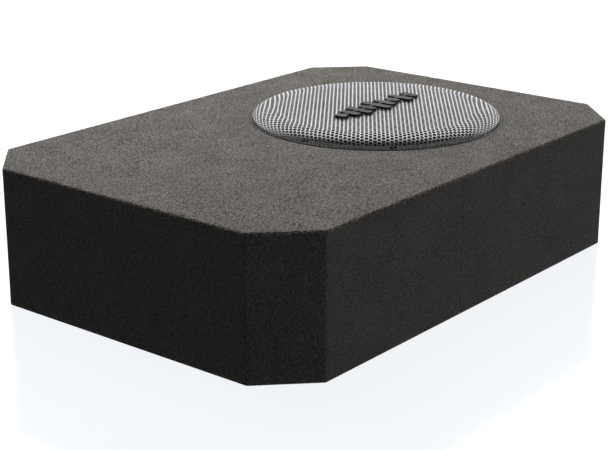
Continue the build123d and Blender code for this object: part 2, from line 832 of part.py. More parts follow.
choke_place = (38.0, -4.0)
choke_core_size = (15.0, 9.0, 9.0)
winding_wall = 1.6
core_outer, core_inner, core_height = choke_core_size
core_front = board_back - winding_wall - 0.2
choke_plane = amp_plane.offset(core_front)
with BuildPart() as choke_core:
    with BuildSketch(choke_plane):
        with Locations(choke_place):
            Circle(core_outer)
            Circle(core_inner, mode=Mode.SUBTRACT)
    extrude(amount=-core_height)
choke_core.part.label = "choke_core"
export_step(choke_core.part, "parts/choke_core.step")

with BuildPart() as choke_winding:
    with BuildSketch(choke_plane.offset(winding_wall)):
        with Locations(choke_place):
            Circle(core_outer + winding_wall)
            Circle(core_inner - winding_wall, mode=Mode.SUBTRACT)
    extrude(amount=-core_height - 2 * winding_wall)
    with BuildSketch(choke_plane):
        with Locations(choke_place):
            Circle(core_outer)
            Circle(core_inner, mode=Mode.SUBTRACT)
    extrude(amount=-core_height, mode=Mode.SUBTRACT)
    with BuildSketch(choke_plane.offset(winding_wall)):
        with Locations((choke_place[0] + core_outer, choke_place[1])):
            Rectangle(2 * core_outer, 8.0)
    extrude(amount=-core_height - 2 * winding_wall, mode=Mode.SUBTRACT)
choke_winding.part.label = "choke_winding"
export_step(choke_winding.part, "parts/choke_winding.step")

# ---------------------------------------------------------------- controls

with BuildPart() as pot_bodies:
    with BuildSketch(amp_plane.offset(board_front)):
        with Locations(*[(place, control_row) for place in pot_places.values()]):
            Circle(pot_radius)
    extrude(amount=pot_front - board_front)
    with BuildSketch(amp_plane.offset(pot_front)):
        with Locations(*[(place, control_row) for place in pot_places.values()]):
            Circle(spindle_radius + running_gap)
    extrude(amount=board_front + 3.0 - pot_front, mode=Mode.SUBTRACT)
pot_bodies.part.label = "pot_bodies"
export_step(pot_bodies.part, "parts/pot_bodies.step")

knob_back = floor_front + 1.0
spindle_tip = board_front + 3.5
for name, place in pot_places.items():
    with BuildPart() as knob:
        with BuildSketch(amp_plane.offset(knob_back)):
            with Locations((place, control_row)):
                Circle(knob_radius)
        extrude(amount=knob_length)
        chamfer(knob.faces().sort_by(Axis.Y)[-1].edges(), 1.0)
        with BuildSketch(amp_plane.offset(knob_back)):
            with Locations((place, control_row)):
                with PolarLocations(knob_radius + 0.4, 18):
                    Circle(0.9)
        extrude(amount=knob_length, mode=Mode.SUBTRACT)
        with BuildSketch(amp_plane.offset(knob_back + knob_length)):
            with Locations((place, control_row + knob_radius / 2)):
                Rectangle(1.2, knob_radius)
        extrude(amount=-0.8, mode=Mode.SUBTRACT)
        with BuildSketch(amp_plane.offset(knob_back)):
            with Locations((place, control_row)):
                Circle(spindle_radius)
        extrude(amount=spindle_tip - knob_back)
    knob.part.label = f"{name}_knob"
    export_step(knob.part, f"parts/{name}_knob.step")

with BuildPart() as switch_housing:
    with BuildSketch(amp_plane.offset(board_front)):
        with Locations((phase_u, control_row)):
            Rectangle(*switch_body)
    extrude(amount=switch_front - board_front)
    with BuildSketch(amp_plane.offset(switch_front)):
        with Locations((phase_u, control_row)):
            Rectangle(*switch_cavity)
    extrude(amount=board_front + 4.0 - switch_front, mode=Mode.SUBTRACT)
switch_housing.part.label = "switch_housing"
export_step(switch_housing.part, "parts/switch_housing.step")

slider_u = phase_u + switch_travel / 2
with BuildPart() as phase_slider:
    with BuildSketch(amp_plane.offset(board_front + 4.0 + slide_gap)):
        with Locations((slider_u, control_row)):
            Rectangle(*slider_base)
    extrude(amount=switch_front - board_front - 4.0 - 2 * slide_gap)
    with BuildSketch(amp_plane.offset(switch_front - slide_gap)):
        with Locations((slider_u, control_row)):
            Rectangle(slider_nub, slider_nub)
    extrude(amount=floor_front + 4.0 - switch_front + slide_gap)
    chamfer(phase_slider.faces().sort_by(Axis.Y)[-1].edges(), 0.4)
phase_slider.part.label = "phase_slider"
export_step(phase_slider.part, "parts/phase_slider.step")

with BuildPart() as power_lamp:
    with BuildSketch(amp_plane.offset(board_front)):
        with Locations((lamp_u, control_row)):
            Circle(lamp_radius)
    extrude(amount=floor_front + 1.5 - board_front)
    fillet(power_lamp.edges().group_by(Axis.Y)[-1], 1.2)
power_lamp.part.label = "power_lamp"
export_step(power_lamp.part, "parts/power_lamp.step")

# ---------------------------------------------------------------- sockets and terminals

with BuildPart() as rca_sleeves:
    with BuildSketch(amp_plane.offset(board_front)):
        with Locations(*[(place, socket_row) for place in rca_places.values()]):
            Circle(rca_neck)
            Circle(rca_radius - rca_wall, mode=Mode.SUBTRACT)
    extrude(amount=rca_shoulder - board_front)
    with BuildSketch(amp_plane.offset(rca_shoulder)):
        with Locations(*[(place, socket_row) for place in rca_places.values()]):
            Circle(rca_radius)
            Circle(rca_radius - rca_wall, mode=Mode.SUBTRACT)
    extrude(amount=rca_front - rca_shoulder)
rca_sleeves.part.label = "rca_sleeves"
export_step(rca_sleeves.part, "parts/rca_sleeves.step")

for name, place in rca_places.items():
    with BuildPart() as rca_insert:
        with BuildSketch(amp_plane.offset(board_front)):
            with Locations((place, socket_row)):
                Circle(rca_radius - rca_wall)
        extrude(amount=rca_front - 0.5 - board_front)
        with BuildSketch(amp_plane.offset(rca_front - 0.5)):
            with Locations((place, socket_row)):
                Circle(rca_pin_hole)
        extrude(amount=-11.0, mode=Mode.SUBTRACT)
    rca_insert.part.label = f"rca_insert_{name}"
    export_step(rca_insert.part, f"parts/rca_insert_{name}.step")

line_pins = [(line_socket_u + column * 4.2, socket_row) for column in (-1.5, -0.5, 0.5, 1.5)]
with BuildPart() as speaker_level_socket:
    with BuildSketch(amp_plane.offset(board_front)):
        with Locations((line_socket_u, socket_row)):
            RectangleRounded(*line_socket, 1.0)
    extrude(amount=line_front - board_front)
    with BuildSketch(amp_plane.offset(line_front)):
        with Locations((line_socket_u, socket_row)):
            Rectangle(*line_cavity)
    extrude(amount=line_floor - line_front, mode=Mode.SUBTRACT)
    add(square_holes(line_pins, (1.0, 1.0), line_floor, board_front), mode=Mode.SUBTRACT)
speaker_level_socket.part.label = "speaker_level_socket"
export_step(speaker_level_socket.part, "parts/speaker_level_socket.step")

with BuildPart() as socket_pins:
    add(square_holes(line_pins, (1.0, 1.0), line_pin_tip, board_front))
socket_pins.part.label = "socket_pins"
export_step(socket_pins.part, "parts/socket_pins.step")

terminal_places = [(terminal_u + column * terminal_pitch, socket_row) for column in (-1, 0, 1)]
barrier_places = [(terminal_u + column * terminal_pitch, socket_row) for column in (-1.5, -0.5, 0.5, 1.5)]
terminal_plate = 1.0
terminal_screw = 1.7
terminal_screw_head = (3.6, 2.4)
with BuildPart() as terminal_strip:
    with BuildSketch(amp_plane.offset(floor_front)):
        with Locations((terminal_u, socket_row)):
            RectangleRounded(*terminal_block, 1.0)
    extrude(amount=terminal_base - floor_front)
    with BuildSketch(amp_plane.offset(terminal_base)):
        with Locations(*barrier_places):
            Rectangle(terminal_barrier, terminal_block[1] - 2)
    extrude(amount=5.0)
    with BuildSketch(amp_plane.offset(terminal_base)):
        with Locations(*terminal_places):
            Circle(terminal_screw)
    extrude(amount=-5.0, mode=Mode.SUBTRACT)
terminal_strip.part.label = "terminal_strip"
export_step(terminal_strip.part, "parts/terminal_strip.step")

with BuildPart() as terminal_plates:
    with BuildSketch(amp_plane.offset(terminal_base)):
        with Locations(*terminal_places):
            Rectangle(terminal_pitch - terminal_barrier - 1, terminal_block[1] - 4)
            Circle(terminal_screw + 0.1, mode=Mode.SUBTRACT)
    extrude(amount=terminal_plate)
terminal_plates.part.label = "terminal_plates"
export_step(terminal_plates.part, "parts/terminal_plates.step")

with BuildPart() as terminal_screws:
    with BuildSketch(amp_plane.offset(terminal_base + terminal_plate)):
        with Locations(*terminal_places):
            Circle(terminal_screw_head[0])
    extrude(amount=terminal_screw_head[1])
    chamfer(terminal_screws.edges().group_by(Axis.Y)[-1], 0.5)
    with BuildSketch(amp_plane.offset(terminal_base + terminal_plate)):
        with Locations(*terminal_places):
            Circle(terminal_screw)
    extrude(amount=-5.5)
    with BuildSketch(amp_plane.offset(terminal_base + terminal_plate + 2.4)):
        with Locations(*terminal_places):
            Rectangle(5.0, 0.9)
            Rectangle(0.9, 5.0)
    extrude(amount=-1.0, mode=Mode.SUBTRACT)
terminal_screws.part.label = "terminal_screws"
export_step(terminal_screws.part, "parts/terminal_screws.step")

# ---------------------------------------------------------------- fuses

blade_slot = (fuse_blade[0] + 2 * slide_gap, fuse_blade[1] + 2 * slide_gap)
blade_places = [(u, socket_row + v * fuse_blade_spacing / 2) for u in fuse_places for v in (-1, 1)]
with BuildPart() as fuse_holder:
    with BuildSketch(amp_plane.offset(board_front)):
        with Locations((fuse_block_u, socket_row)):
            RectangleRounded(*fuse_block, 1.0)
    extrude(amount=fuse_block_front - board_front)
    add(
        square_holes(blade_places, blade_slot, fuse_block_front, fuse_block_front - fuse_blade_length - 1),
        mode=Mode.SUBTRACT,
    )
fuse_holder.part.label = "fuse_holder"
export_step(fuse_holder.part, "parts/fuse_holder.step")

fuse_back = fuse_block_front + slide_gap
for number, place in enumerate(fuse_places, start=1):
    own_blades = [(u, v) for u, v in blade_places if u == place]
    with BuildPart() as fuse:
        with BuildSketch(amp_plane.offset(fuse_back)):
            with Locations((place, socket_row)):
                RectangleRounded(*fuse_body, 0.8)
        extrude(amount=fuse_front - fuse_back)
        fillet(fuse.faces().sort_by(Axis.Y)[-1].edges(), 0.6)
        add(square_holes(own_blades, fuse_blade, fuse_back, fuse_back - fuse_blade_length))
    fuse.part.label = f"fuse_{number}"
    export_step(fuse.part, f"parts/fuse_{number}.step")
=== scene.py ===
"""Looks of the powered car subwoofer: carpeted box, perforated grille, driver and amplifier panel."""

from math import atan2, ceil, cos, hypot, pi, radians, sin, sqrt, tan

import bmesh
import bpy
import numpy as np
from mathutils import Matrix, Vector, noise
from mathutils.geometry import tessellate_polygon


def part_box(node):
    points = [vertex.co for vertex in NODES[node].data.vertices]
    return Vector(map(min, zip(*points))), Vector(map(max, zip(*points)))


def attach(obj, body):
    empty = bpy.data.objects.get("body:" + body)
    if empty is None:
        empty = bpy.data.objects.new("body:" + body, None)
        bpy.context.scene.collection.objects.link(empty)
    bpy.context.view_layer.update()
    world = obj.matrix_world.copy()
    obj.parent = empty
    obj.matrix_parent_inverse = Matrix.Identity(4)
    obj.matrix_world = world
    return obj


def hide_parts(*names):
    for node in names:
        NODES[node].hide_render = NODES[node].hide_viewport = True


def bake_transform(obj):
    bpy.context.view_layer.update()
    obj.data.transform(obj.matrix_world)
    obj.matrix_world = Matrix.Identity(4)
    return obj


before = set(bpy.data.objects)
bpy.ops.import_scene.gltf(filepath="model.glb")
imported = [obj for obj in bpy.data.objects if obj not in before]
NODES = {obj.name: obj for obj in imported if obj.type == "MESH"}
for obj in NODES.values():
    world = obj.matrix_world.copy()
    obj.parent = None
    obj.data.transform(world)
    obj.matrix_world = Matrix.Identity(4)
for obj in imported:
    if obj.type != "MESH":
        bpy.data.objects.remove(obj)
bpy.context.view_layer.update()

bl_info = {
    "name": "Car Subwoofer Looks",
    "version": (1, 0, 0),
    "blender": (4, 5, 0),
    "location": "3D View > Sidebar > Subwoofer",
    "description": "Carpet, grille, suspension, fastenings, finishes and studio for the subwoofer",
    "category": "Object",
}

MM = 0.001


# ---------------------------------------------------------------- small helpers

def linear(hex_colour):
    """An sRGB hex colour as linear RGBA."""
    parts = [int(hex_colour[i:i + 2], 16) / 255 for i in (0, 2, 4)]
    return tuple(c / 12.92 if c <= 0.04045 else ((c + 0.055) / 1.055) ** 2.4 for c in parts) + (1.0,)


def per(size_mm):
    """Texture scale that makes one feature about size_mm across, on coordinates in metres."""
    return 1000.0 / size_mm


def add(tree, kind, links=(), **settings):
    """Adds a node, sets its properties, and joins or fills its inputs."""
    node = tree.nodes.new(kind)
    for key, value in settings.items():
        setattr(node, key, value)
    pairs = links.items() if isinstance(links, dict) else enumerate(links)
    for key, value in pairs:
        if isinstance(value, bpy.types.NodeSocket):
            tree.links.new(value, node.inputs[key])
        elif value is not None:
            node.inputs[key].default_value = value
    return node


def box_mm(node):
    """The low and high corners of a CAD node, in millimetres."""
    return [tuple(v * 1000 for v in corner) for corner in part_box(node)]


def new_piece(name, mesh, material, body="box", smooth=True):
    """A mesh object at the origin that moves with a body."""
    piece = bpy.data.objects.new(name, mesh)
    bpy.context.scene.collection.objects.link(piece)
    if material is not None:
        mesh.materials.clear()
        mesh.materials.append(material)
    for polygon in mesh.polygons:
        polygon.use_smooth = smooth
    if body:
        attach(piece, body)
    return piece


def mesh_from(name, points, faces):
    """A mesh whose coordinates are given in millimetres."""
    mesh = bpy.data.meshes.new(name)
    mesh.from_pydata([tuple(v * MM for v in p) for p in points], [], faces)
    mesh.update()
    return mesh


def face_outwards(mesh):
    """Merges the doubles of a closed shell and turns its faces out."""
    shell = bmesh.new()
    shell.from_mesh(mesh)
    bmesh.ops.remove_doubles(shell, verts=shell.verts, dist=1e-7)
    bmesh.ops.recalc_face_normals(shell, faces=shell.faces)
    shell.to_mesh(mesh)
    shell.free()
    return mesh


def sharpen(mesh, angle):
    """Marks edges that turn more than the angle, so that only the gentle ones shade smooth."""
    shell = bmesh.new()
    shell.from_mesh(mesh)
    for edge in shell.edges:
        edge.smooth = len(edge.link_faces) == 2 and edge.calc_face_angle(0) < angle
    shell.to_mesh(mesh)
    shell.free()


def turned(name, profile, centre, start=0.0, end=2 * pi, steps=96):
    """Turns a closed profile of (radius, level) points about the driver's axis; part turns get end caps."""
    whole = end - start > 2 * pi - 1e-6
    count = steps if whole else steps + 1
    points = []
    for k in range(count):
        a = start + (end - start) * k / steps
        points += [(centre[0] + r * cos(a), centre[1] + r * sin(a), z) for r, z in profile]
    size = len(profile)
    faces = []
    for k in range(steps):
        here, there = k * size, ((k + 1) % count) * size
        for j in range(size):
            n = (j + 1) % size
            faces.append((here + j, there + j, there + n, here + n))
    if not whole:
        faces += [tuple(range(size)), tuple(range((count - 1) * size, count * size))[::-1]]
    return face_outwards(mesh_from(name, points, faces))


def lump_centres(node):
    """The middle of each separate lump of a CAD node, in millimetres."""
    shell = bmesh.new()
    shell.from_mesh(NODES[node].data)
    bmesh.ops.remove_doubles(shell, verts=shell.verts, dist=1e-6)
    left, found = set(shell.verts), []
    while left:
        todo = [left.pop()]
        group = []
        while todo:
            vert = todo.pop()
            group.append(vert.co.copy())
            for edge in vert.link_edges:
                other = edge.other_vert(vert)
                if other in left:
                    left.remove(other)
                    todo.append(other)
        low = Vector([min(p[i] for p in group) for i in range(3)])
        high = Vector([max(p[i] for p in group) for i in range(3)])
        found.append((low + high) / 2 * 1000)
    shell.free()
    return sorted(found, key=lambda p: (round(p.x, 1), round(p.y, 1), round(p.z, 1)))


def grown(name, tree, values, base=None):
    """Runs a geometry tree and returns its result as a plain mesh."""
    holder = bpy.data.objects.new(name + "_holder", base or bpy.data.meshes.new(name + "_base"))
    bpy.context.scene.collection.objects.link(holder)
    modifier = holder.modifiers.new("Nodes", "NODES")
    modifier.node_group = tree
    for item in tree.interface.items_tree:
        if item.in_out == "INPUT" and item.name in values:
            modifier[item.identifier] = values[item.name]
    bpy.context.view_layer.update()
    depsgraph = bpy.context.evaluated_depsgraph_get()
    mesh = bpy.data.meshes.new_from_object(holder.evaluated_get(depsgraph), depsgraph=depsgraph)
    mesh.name = name
    holder.modifiers.remove(modifier)
    bpy.data.objects.remove(holder)
    if not mesh.polygons:
        raise RuntimeError(f"{name} came out empty")
    return mesh


def new_tree(name, sockets, geometry_in=False):
    """A geometry node group with named inputs; returns it with its group input."""
    tree = bpy.data.node_groups.new(name, "GeometryNodeTree")
    if geometry_in:
        tree.interface.new_socket(name="Geometry", in_out="INPUT", socket_type="NodeSocketGeometry")
    for label, (kind, default) in sockets.items():
        item = tree.interface.new_socket(name=label, in_out="INPUT", socket_type="NodeSocket" + kind)
        if default is not None:
            item.default_value = default
    tree.interface.new_socket(name="Geometry", in_out="OUTPUT", socket_type="NodeSocketGeometry")
    return tree, tree.nodes.new("NodeGroupInput")


def close_tree(tree, geometry, group):
    """Ends a tree in Realize Instances and Set Material."""
    real = add(tree, "GeometryNodeRealizeInstances", [geometry])
    painted = add(tree, "GeometryNodeSetMaterial",
        {"Geometry": real.outputs[0], "Material": group.outputs["Material"]})
    add(tree, "NodeGroupOutput", [painted.outputs[0]])


# ---------------------------------------------------------------- materials

def blank(name, rough, metallic=0.0, **sockets):
    """A new material with its Principled shader; constants go straight on its sockets."""
    material = bpy.data.materials.new(name)
    material.use_nodes = True
    tree = material.node_tree
    tree.nodes.clear()
    shader = add(tree, "ShaderNodeBsdfPrincipled", {"Roughness": rough, "Metallic": metallic})
    for key, value in sockets.items():
        shader.inputs[key.replace("_", " ")].default_value = value
    add(tree, "ShaderNodeOutputMaterial", [shader.outputs[0]])
    where = add(tree, "ShaderNodeTexCoord").outputs["Object"]
    return material, tree, shader, where


def two_tone(tree, shader, factor, dark, light, low=0.3, high=0.7):
    """Colours the shader between two tones by a factor."""
    ramp = add(tree, "ShaderNodeValToRGB", [factor])
    ramp.color_ramp.elements[0].position, ramp.color_ramp.elements[1].position = low, high
    ramp.color_ramp.elements[0].color, ramp.color_ramp.elements[1].color = linear(dark), linear(light)
    tree.links.new(ramp.outputs[0], shader.inputs["Base Color"])
    return ramp


def raise_by(tree, shader, height, depth_mm):
    """Bump of the given real depth."""
    bump = add(tree, "ShaderNodeBump", {"Height": height, "Distance": depth_mm * MM, "Strength": 1.0})
    tree.links.new(bump.outputs[0], shader.inputs["Normal"])


def vary_rough(tree, shader, factor, low, high):
    """Roughness that wanders between two values."""
    spread = add(tree, "ShaderNodeMapRange",
        {"Value": factor, "From Min": 0.3, "From Max": 0.7, "To Min": low, "To Max": high})
    tree.links.new(spread.outputs[0], shader.inputs["Roughness"])


def felt_carpet(name, colours, sheen, low=0.53, high=0.655):
    """Needle-punched polyester felt: a tangle of fine fibres, matt, mottled and pale where seen edge-on. Its
    tone follows the same tangle as the bump: partly the fibres' own colour, partly painted shade in the
    hollows between the tufts.
    """
    material, tree, shader, where = blank(name, 0.95, Sheen_Weight=sheen, Sheen_Roughness=0.42,
        Specular_IOR_Level=0.06)
    shader.inputs["Sheen Tint"].default_value = linear("f4efe8")
    tangle = add(tree, "ShaderNodeTexNoise", {"Vector": where, "Scale": per(11), "Detail": 3.0})
    pulled = add(tree, "ShaderNodeVectorMath", {0: tangle.outputs["Color"], 1: (0.004, 0.004, 0.004)},
        operation="MULTIPLY")
    bent = add(tree, "ShaderNodeVectorMath", {0: where, 1: pulled.outputs[0]}, operation="ADD")
    # Fibres are about 0.03 mm; the tufts are drawn 1.6 mm wide so that the tangle shows.
    fibres = add(tree, "ShaderNodeTexNoise",
        {"Vector": bent.outputs[0], "Scale": per(1.6), "Detail": 3.0, "Roughness": 0.6})
    strands = add(tree, "ShaderNodeTexVoronoi", {"Vector": bent.outputs[0], "Scale": per(2.2)},
        feature="DISTANCE_TO_EDGE")
    strand_share = add(tree, "ShaderNodeMapRange",
        {"Value": strands.outputs["Distance"], "From Max": 0.24, "To Min": 1.0, "To Max": 0.0})
    mottle = add(tree, "ShaderNodeTexNoise", {"Vector": where, "Scale": per(38), "Detail": 2.0})
    lean = add(tree, "ShaderNodeMath", {0: mottle.outputs["Fac"], 1: 0.09, 2: fibres.outputs["Fac"]},
        operation="MULTIPLY_ADD")
    tone_with_hollow_shade = add(tree, "ShaderNodeMath", {0: strand_share.outputs[0], 1: 0.10, 2: lean.outputs[0]},
        operation="MULTIPLY_ADD")
    # Painted shade: the colour rises with the bump height, so the low hollows between tufts come out dark as
    # if in shade, on top of the felt's own spread of tone.
    two_tone(tree, shader, tone_with_hollow_shade.outputs[0], colours[0], colours[1], low, high)
    height = add(tree, "ShaderNodeMath", {0: strand_share.outputs[0], 1: 0.35, 2: fibres.outputs["Fac"]},
        operation="MULTIPLY_ADD")
    raise_by(tree, shader, height.outputs[0], 0.28)
    return material


def moulded_plastic(name, dark, light, rough=0.45, grain=0.7, depth=0.03, coat=0.0):
    """Injection-moulded plastic with a fine spark-eroded grain: a soft, broken highlight."""
    material, tree, shader, where = blank(name, rough, IOR=1.53, Coat_Weight=coat, Coat_Roughness=0.2)
    grains = add(tree, "ShaderNodeTexVoronoi", {"Vector": where, "Scale": per(grain)})
    patches = add(tree, "ShaderNodeTexNoise", {"Vector": where, "Scale": per(22), "Detail": 4.0})
    two_tone(tree, shader, patches.outputs["Fac"], dark, light)
    vary_rough(tree, shader, patches.outputs["Fac"], rough - 0.06, rough + 0.08)
    raise_by(tree, shader, grains.outputs["Distance"], depth)
    return material


def worked_metal(name, dark, light, rough=0.3, line=0.35, along=(1.0, 14.0, 14.0), depth=0.01):
    """Rolled or turned metal: fine lines one way draw the highlight out across them."""
    material, tree, shader, where = blank(name, rough, 1.0)
    stretched = add(tree, "ShaderNodeMapping", {"Vector": where, "Scale": along})
    lines = add(tree, "ShaderNodeTexNoise",
        {"Vector": stretched.outputs[0], "Scale": per(line * 14), "Detail": 5.0})
    handling = add(tree, "ShaderNodeTexNoise", {"Vector": where, "Scale": per(17), "Detail": 3.0})
    two_tone(tree, shader, handling.outputs["Fac"], dark, light)
    vary_rough(tree, shader, lines.outputs["Fac"], rough - 0.08, rough + 0.12)
    raise_by(tree, shader, lines.outputs["Fac"], depth)
    return material


def powder_coat(name, dark, light, rough=0.5, peel=1.1, depth=0.06):
    """Baked powder paint: an orange-peel skin that softens every highlight."""
    material, tree, shader, where = blank(name, rough, IOR=1.5)
    skin = add(tree, "ShaderNodeTexNoise",
        {"Vector": where, "Scale": per(peel), "Detail": 2.0, "Roughness": 0.4})
    dust = add(tree, "ShaderNodeTexNoise", {"Vector": where, "Scale": per(30), "Detail": 5.0})
    two_tone(tree, shader, dust.outputs["Fac"], dark, light)
    vary_rough(tree, shader, dust.outputs["Fac"], rough - 0.05, rough + 0.1)
    raise_by(tree, shader, skin.outputs["Fac"], depth)
    return material


def pressed_fibre(name, dark, light, chip=1.3, rough=0.85, depth=0.08):
    """Pressed wood or paper pulp: short crossing fibres with dark specks, quite matt."""
    material, tree, shader, where = blank(name, rough, Specular_IOR_Level=0.25)
    long_way = add(tree, "ShaderNodeMapping",
        {"Vector": where, "Scale": (1.0, 0.35, 1.0), "Rotation": (0.0, 0.0, 0.7)})
    chips = add(tree, "ShaderNodeTexNoise",
        {"Vector": long_way.outputs[0], "Scale": per(chip), "Detail": 6.0, "Roughness": 0.7})
    two_tone(tree, shader, chips.outputs["Fac"], dark, light, 0.35, 0.68)
    raise_by(tree, shader, chips.outputs["Fac"], depth)
    return material


def cell_foam(name, dark, light, cell=0.9, depth=0.35):
    """Open-cell foam: pores of one size swallow light between bright cell walls."""
    material, tree, shader, where = blank(name, 0.98, Specular_IOR_Level=0.1, Sheen_Weight=0.15)
    cells = add(tree, "ShaderNodeTexVoronoi", {"Vector": where, "Scale": per(cell)})
    two_tone(tree, shader, cells.outputs["Distance"], dark, light, 0.15, 0.75)
    raise_by(tree, shader, cells.outputs["Distance"], depth)
    return material


def soft_rubber(name, dark, light, rough=0.62):
    """Butyl rubber with a bloom: grey film on black, smooth with faint moulding lines."""
    material, tree, shader, where = blank(name, rough, IOR=1.52, Specular_IOR_Level=0.35)
    bloom = add(tree, "ShaderNodeTexNoise",
        {"Vector": where, "Scale": per(14), "Detail": 6.0, "Roughness": 0.65})
    skin = add(tree, "ShaderNodeTexNoise", {"Vector": where, "Scale": per(0.8), "Detail": 2.0})
    two_tone(tree, shader, bloom.outputs["Fac"], dark, light)
    vary_rough(tree, shader, bloom.outputs["Fac"], rough - 0.1, rough + 0.1)
    raise_by(tree, shader, skin.outputs["Fac"], 0.03)
    return material


def woven(name, dark, light, thread=0.9, rough=0.9):
    """Plain-weave cotton stiffened with resin: crossing threads, lighter where they cross, with painted shade
    in the gaps and pinholes between them.
    """
    material, tree, shader, where = blank(name, rough, Specular_IOR_Level=0.2, Sheen_Weight=0.1)
    warp = add(tree, "ShaderNodeTexWave", {"Vector": where, "Scale": per(thread) / 6.28, "Distortion": 0.4},
        bands_direction="X")
    weft = add(tree, "ShaderNodeTexWave", {"Vector": where, "Scale": per(thread) / 6.28, "Distortion": 0.4},
        bands_direction="Y")
    crossed = add(tree, "ShaderNodeMath", {0: warp.outputs["Fac"], 1: weft.outputs["Fac"]},
        operation="MULTIPLY")
    # Painted shade: where the threads do not cross, the colour falls dark as if in shade.
    two_tone(tree, shader, crossed.outputs[0], dark, light, 0.05, 0.6)
    raise_by(tree, shader, crossed.outputs[0], 0.15)
    return material


def wound_wire(name, dark, light, wire=0.45):
    """Enamelled copper laid turn beside turn: bright ridges, with painted shade in the grooves between them.
    """
    material, tree, shader, where = blank(name, 0.28, 1.0, Coat_Weight=0.6, Coat_Roughness=0.12)
    turns = add(tree, "ShaderNodeTexWave", {"Vector": where, "Scale": per(wire) / 6.28, "Distortion": 0.15},
        bands_direction="Z")
    # Painted shade: the bands that raise the ridges also colour the grooves dark.
    two_tone(tree, shader, turns.outputs["Fac"], dark, light, 0.05, 0.6)
    raise_by(tree, shader, turns.outputs["Fac"], wire / 2)
    return material


def printed_board(name):
    """Glass-epoxy board under green solder resist: darker laminate with faint glass weave and copper runs."""
    material, tree, shader, where = blank(name, 0.35, IOR=1.55, Coat_Weight=0.4, Coat_Roughness=0.15)
    upright = add(tree, "ShaderNodeMapping", {"Vector": where, "Rotation": (pi / 2, 0.0, 0.0)})
    runs = add(tree, "ShaderNodeTexBrick", {
        "Vector": upright.outputs[0], "Scale": per(9), "Color1": linear("123f25"),
            "Color2": linear("17502f"),
        "Mortar": linear("2b7a46"), "Mortar Size": 0.03})
    tree.links.new(runs.outputs["Color"], shader.inputs["Base Color"])
    raise_by(tree, shader, runs.outputs["Fac"], 0.04)
    return material


def sintered(name, dark, light):
    """Ground ferrite: a dark ceramic with chipped grains and a faint metallic glint."""
    material, tree, shader, where = blank(name, 0.48, IOR=2.2, Specular_IOR_Level=0.45)
    grains = add(tree, "ShaderNodeTexVoronoi", {"Vector": where, "Scale": per(1.6)})
    two_tone(tree, shader, grains.outputs["Distance"], dark, light, 0.1, 0.9)
    raise_by(tree, shader, grains.outputs["Distance"], 0.05)
    return material


def clear_lens(name, tint):
    """Tinted polycarbonate lens: a smooth deep colour with a wet highlight and faint moulding swirls."""
    material, tree, shader, where = blank(name, 0.08, IOR=1.58, Coat_Weight=1.0, Coat_Roughness=0.03,
        Transmission_Weight=0.35)
    swirl = add(tree, "ShaderNodeTexNoise", {"Vector": where, "Scale": per(2), "Detail": 2.0})
    two_tone(tree, shader, swirl.outputs["Fac"], tint[0], tint[1])
    raise_by(tree, shader, swirl.outputs["Fac"], 0.01)
    return material


def silvered_steel(name, colours, rough):
    """Punched steel sheet under silver lacquer: bright webs with metal flake; faces that turn sideways or
    down, the walls of the holes among them, get painted shade.
    """
    material, tree, shader, where = blank(name, rough, 0.92, Coat_Weight=0.25, Coat_Roughness=0.25)
    flake = add(tree, "ShaderNodeTexNoise",
        {"Vector": where, "Scale": per(0.8), "Detail": 4.0, "Roughness": 0.8})
    haze = add(tree, "ShaderNodeTexNoise", {"Vector": where, "Scale": per(45), "Detail": 2.0})
    joined = add(tree, "ShaderNodeMath", {0: haze.outputs["Fac"], 1: 0.5, 2: flake.outputs["Fac"]},
        operation="MULTIPLY_ADD")
    silver = two_tone(tree, shader, joined.outputs[0], colours[0], colours[1], 0.5, 1.0)
    # Painted shade: faces that turn sideways or down, such as the punched walls of the holes, the steep foot
    # of the rim and the underside, are coloured dark as if in shade.
    facing = add(tree, "ShaderNodeSeparateXYZ", [add(tree, "ShaderNodeTexCoord").outputs["Normal"]])
    unshaded_share = add(tree, "ShaderNodeMapRange",
        {"Value": facing.outputs[2], "From Min": 0.02, "From Max": 0.30})
    # The dark colour 242527 is the painted shade on those faces.
    silver_with_painted_shade = add(tree, "ShaderNodeMix", {0: unshaded_share.outputs[0], 6: linear("242527"), 7: silver.outputs[0]},
        data_type="RGBA")
    tree.links.new(silver_with_painted_shade.outputs[2], shader.inputs["Base Color"])
    vary_rough(tree, shader, flake.outputs["Fac"], rough - 0.03, rough + 0.07)
    raise_by(tree, shader, flake.outputs["Fac"], 0.02)
    return material


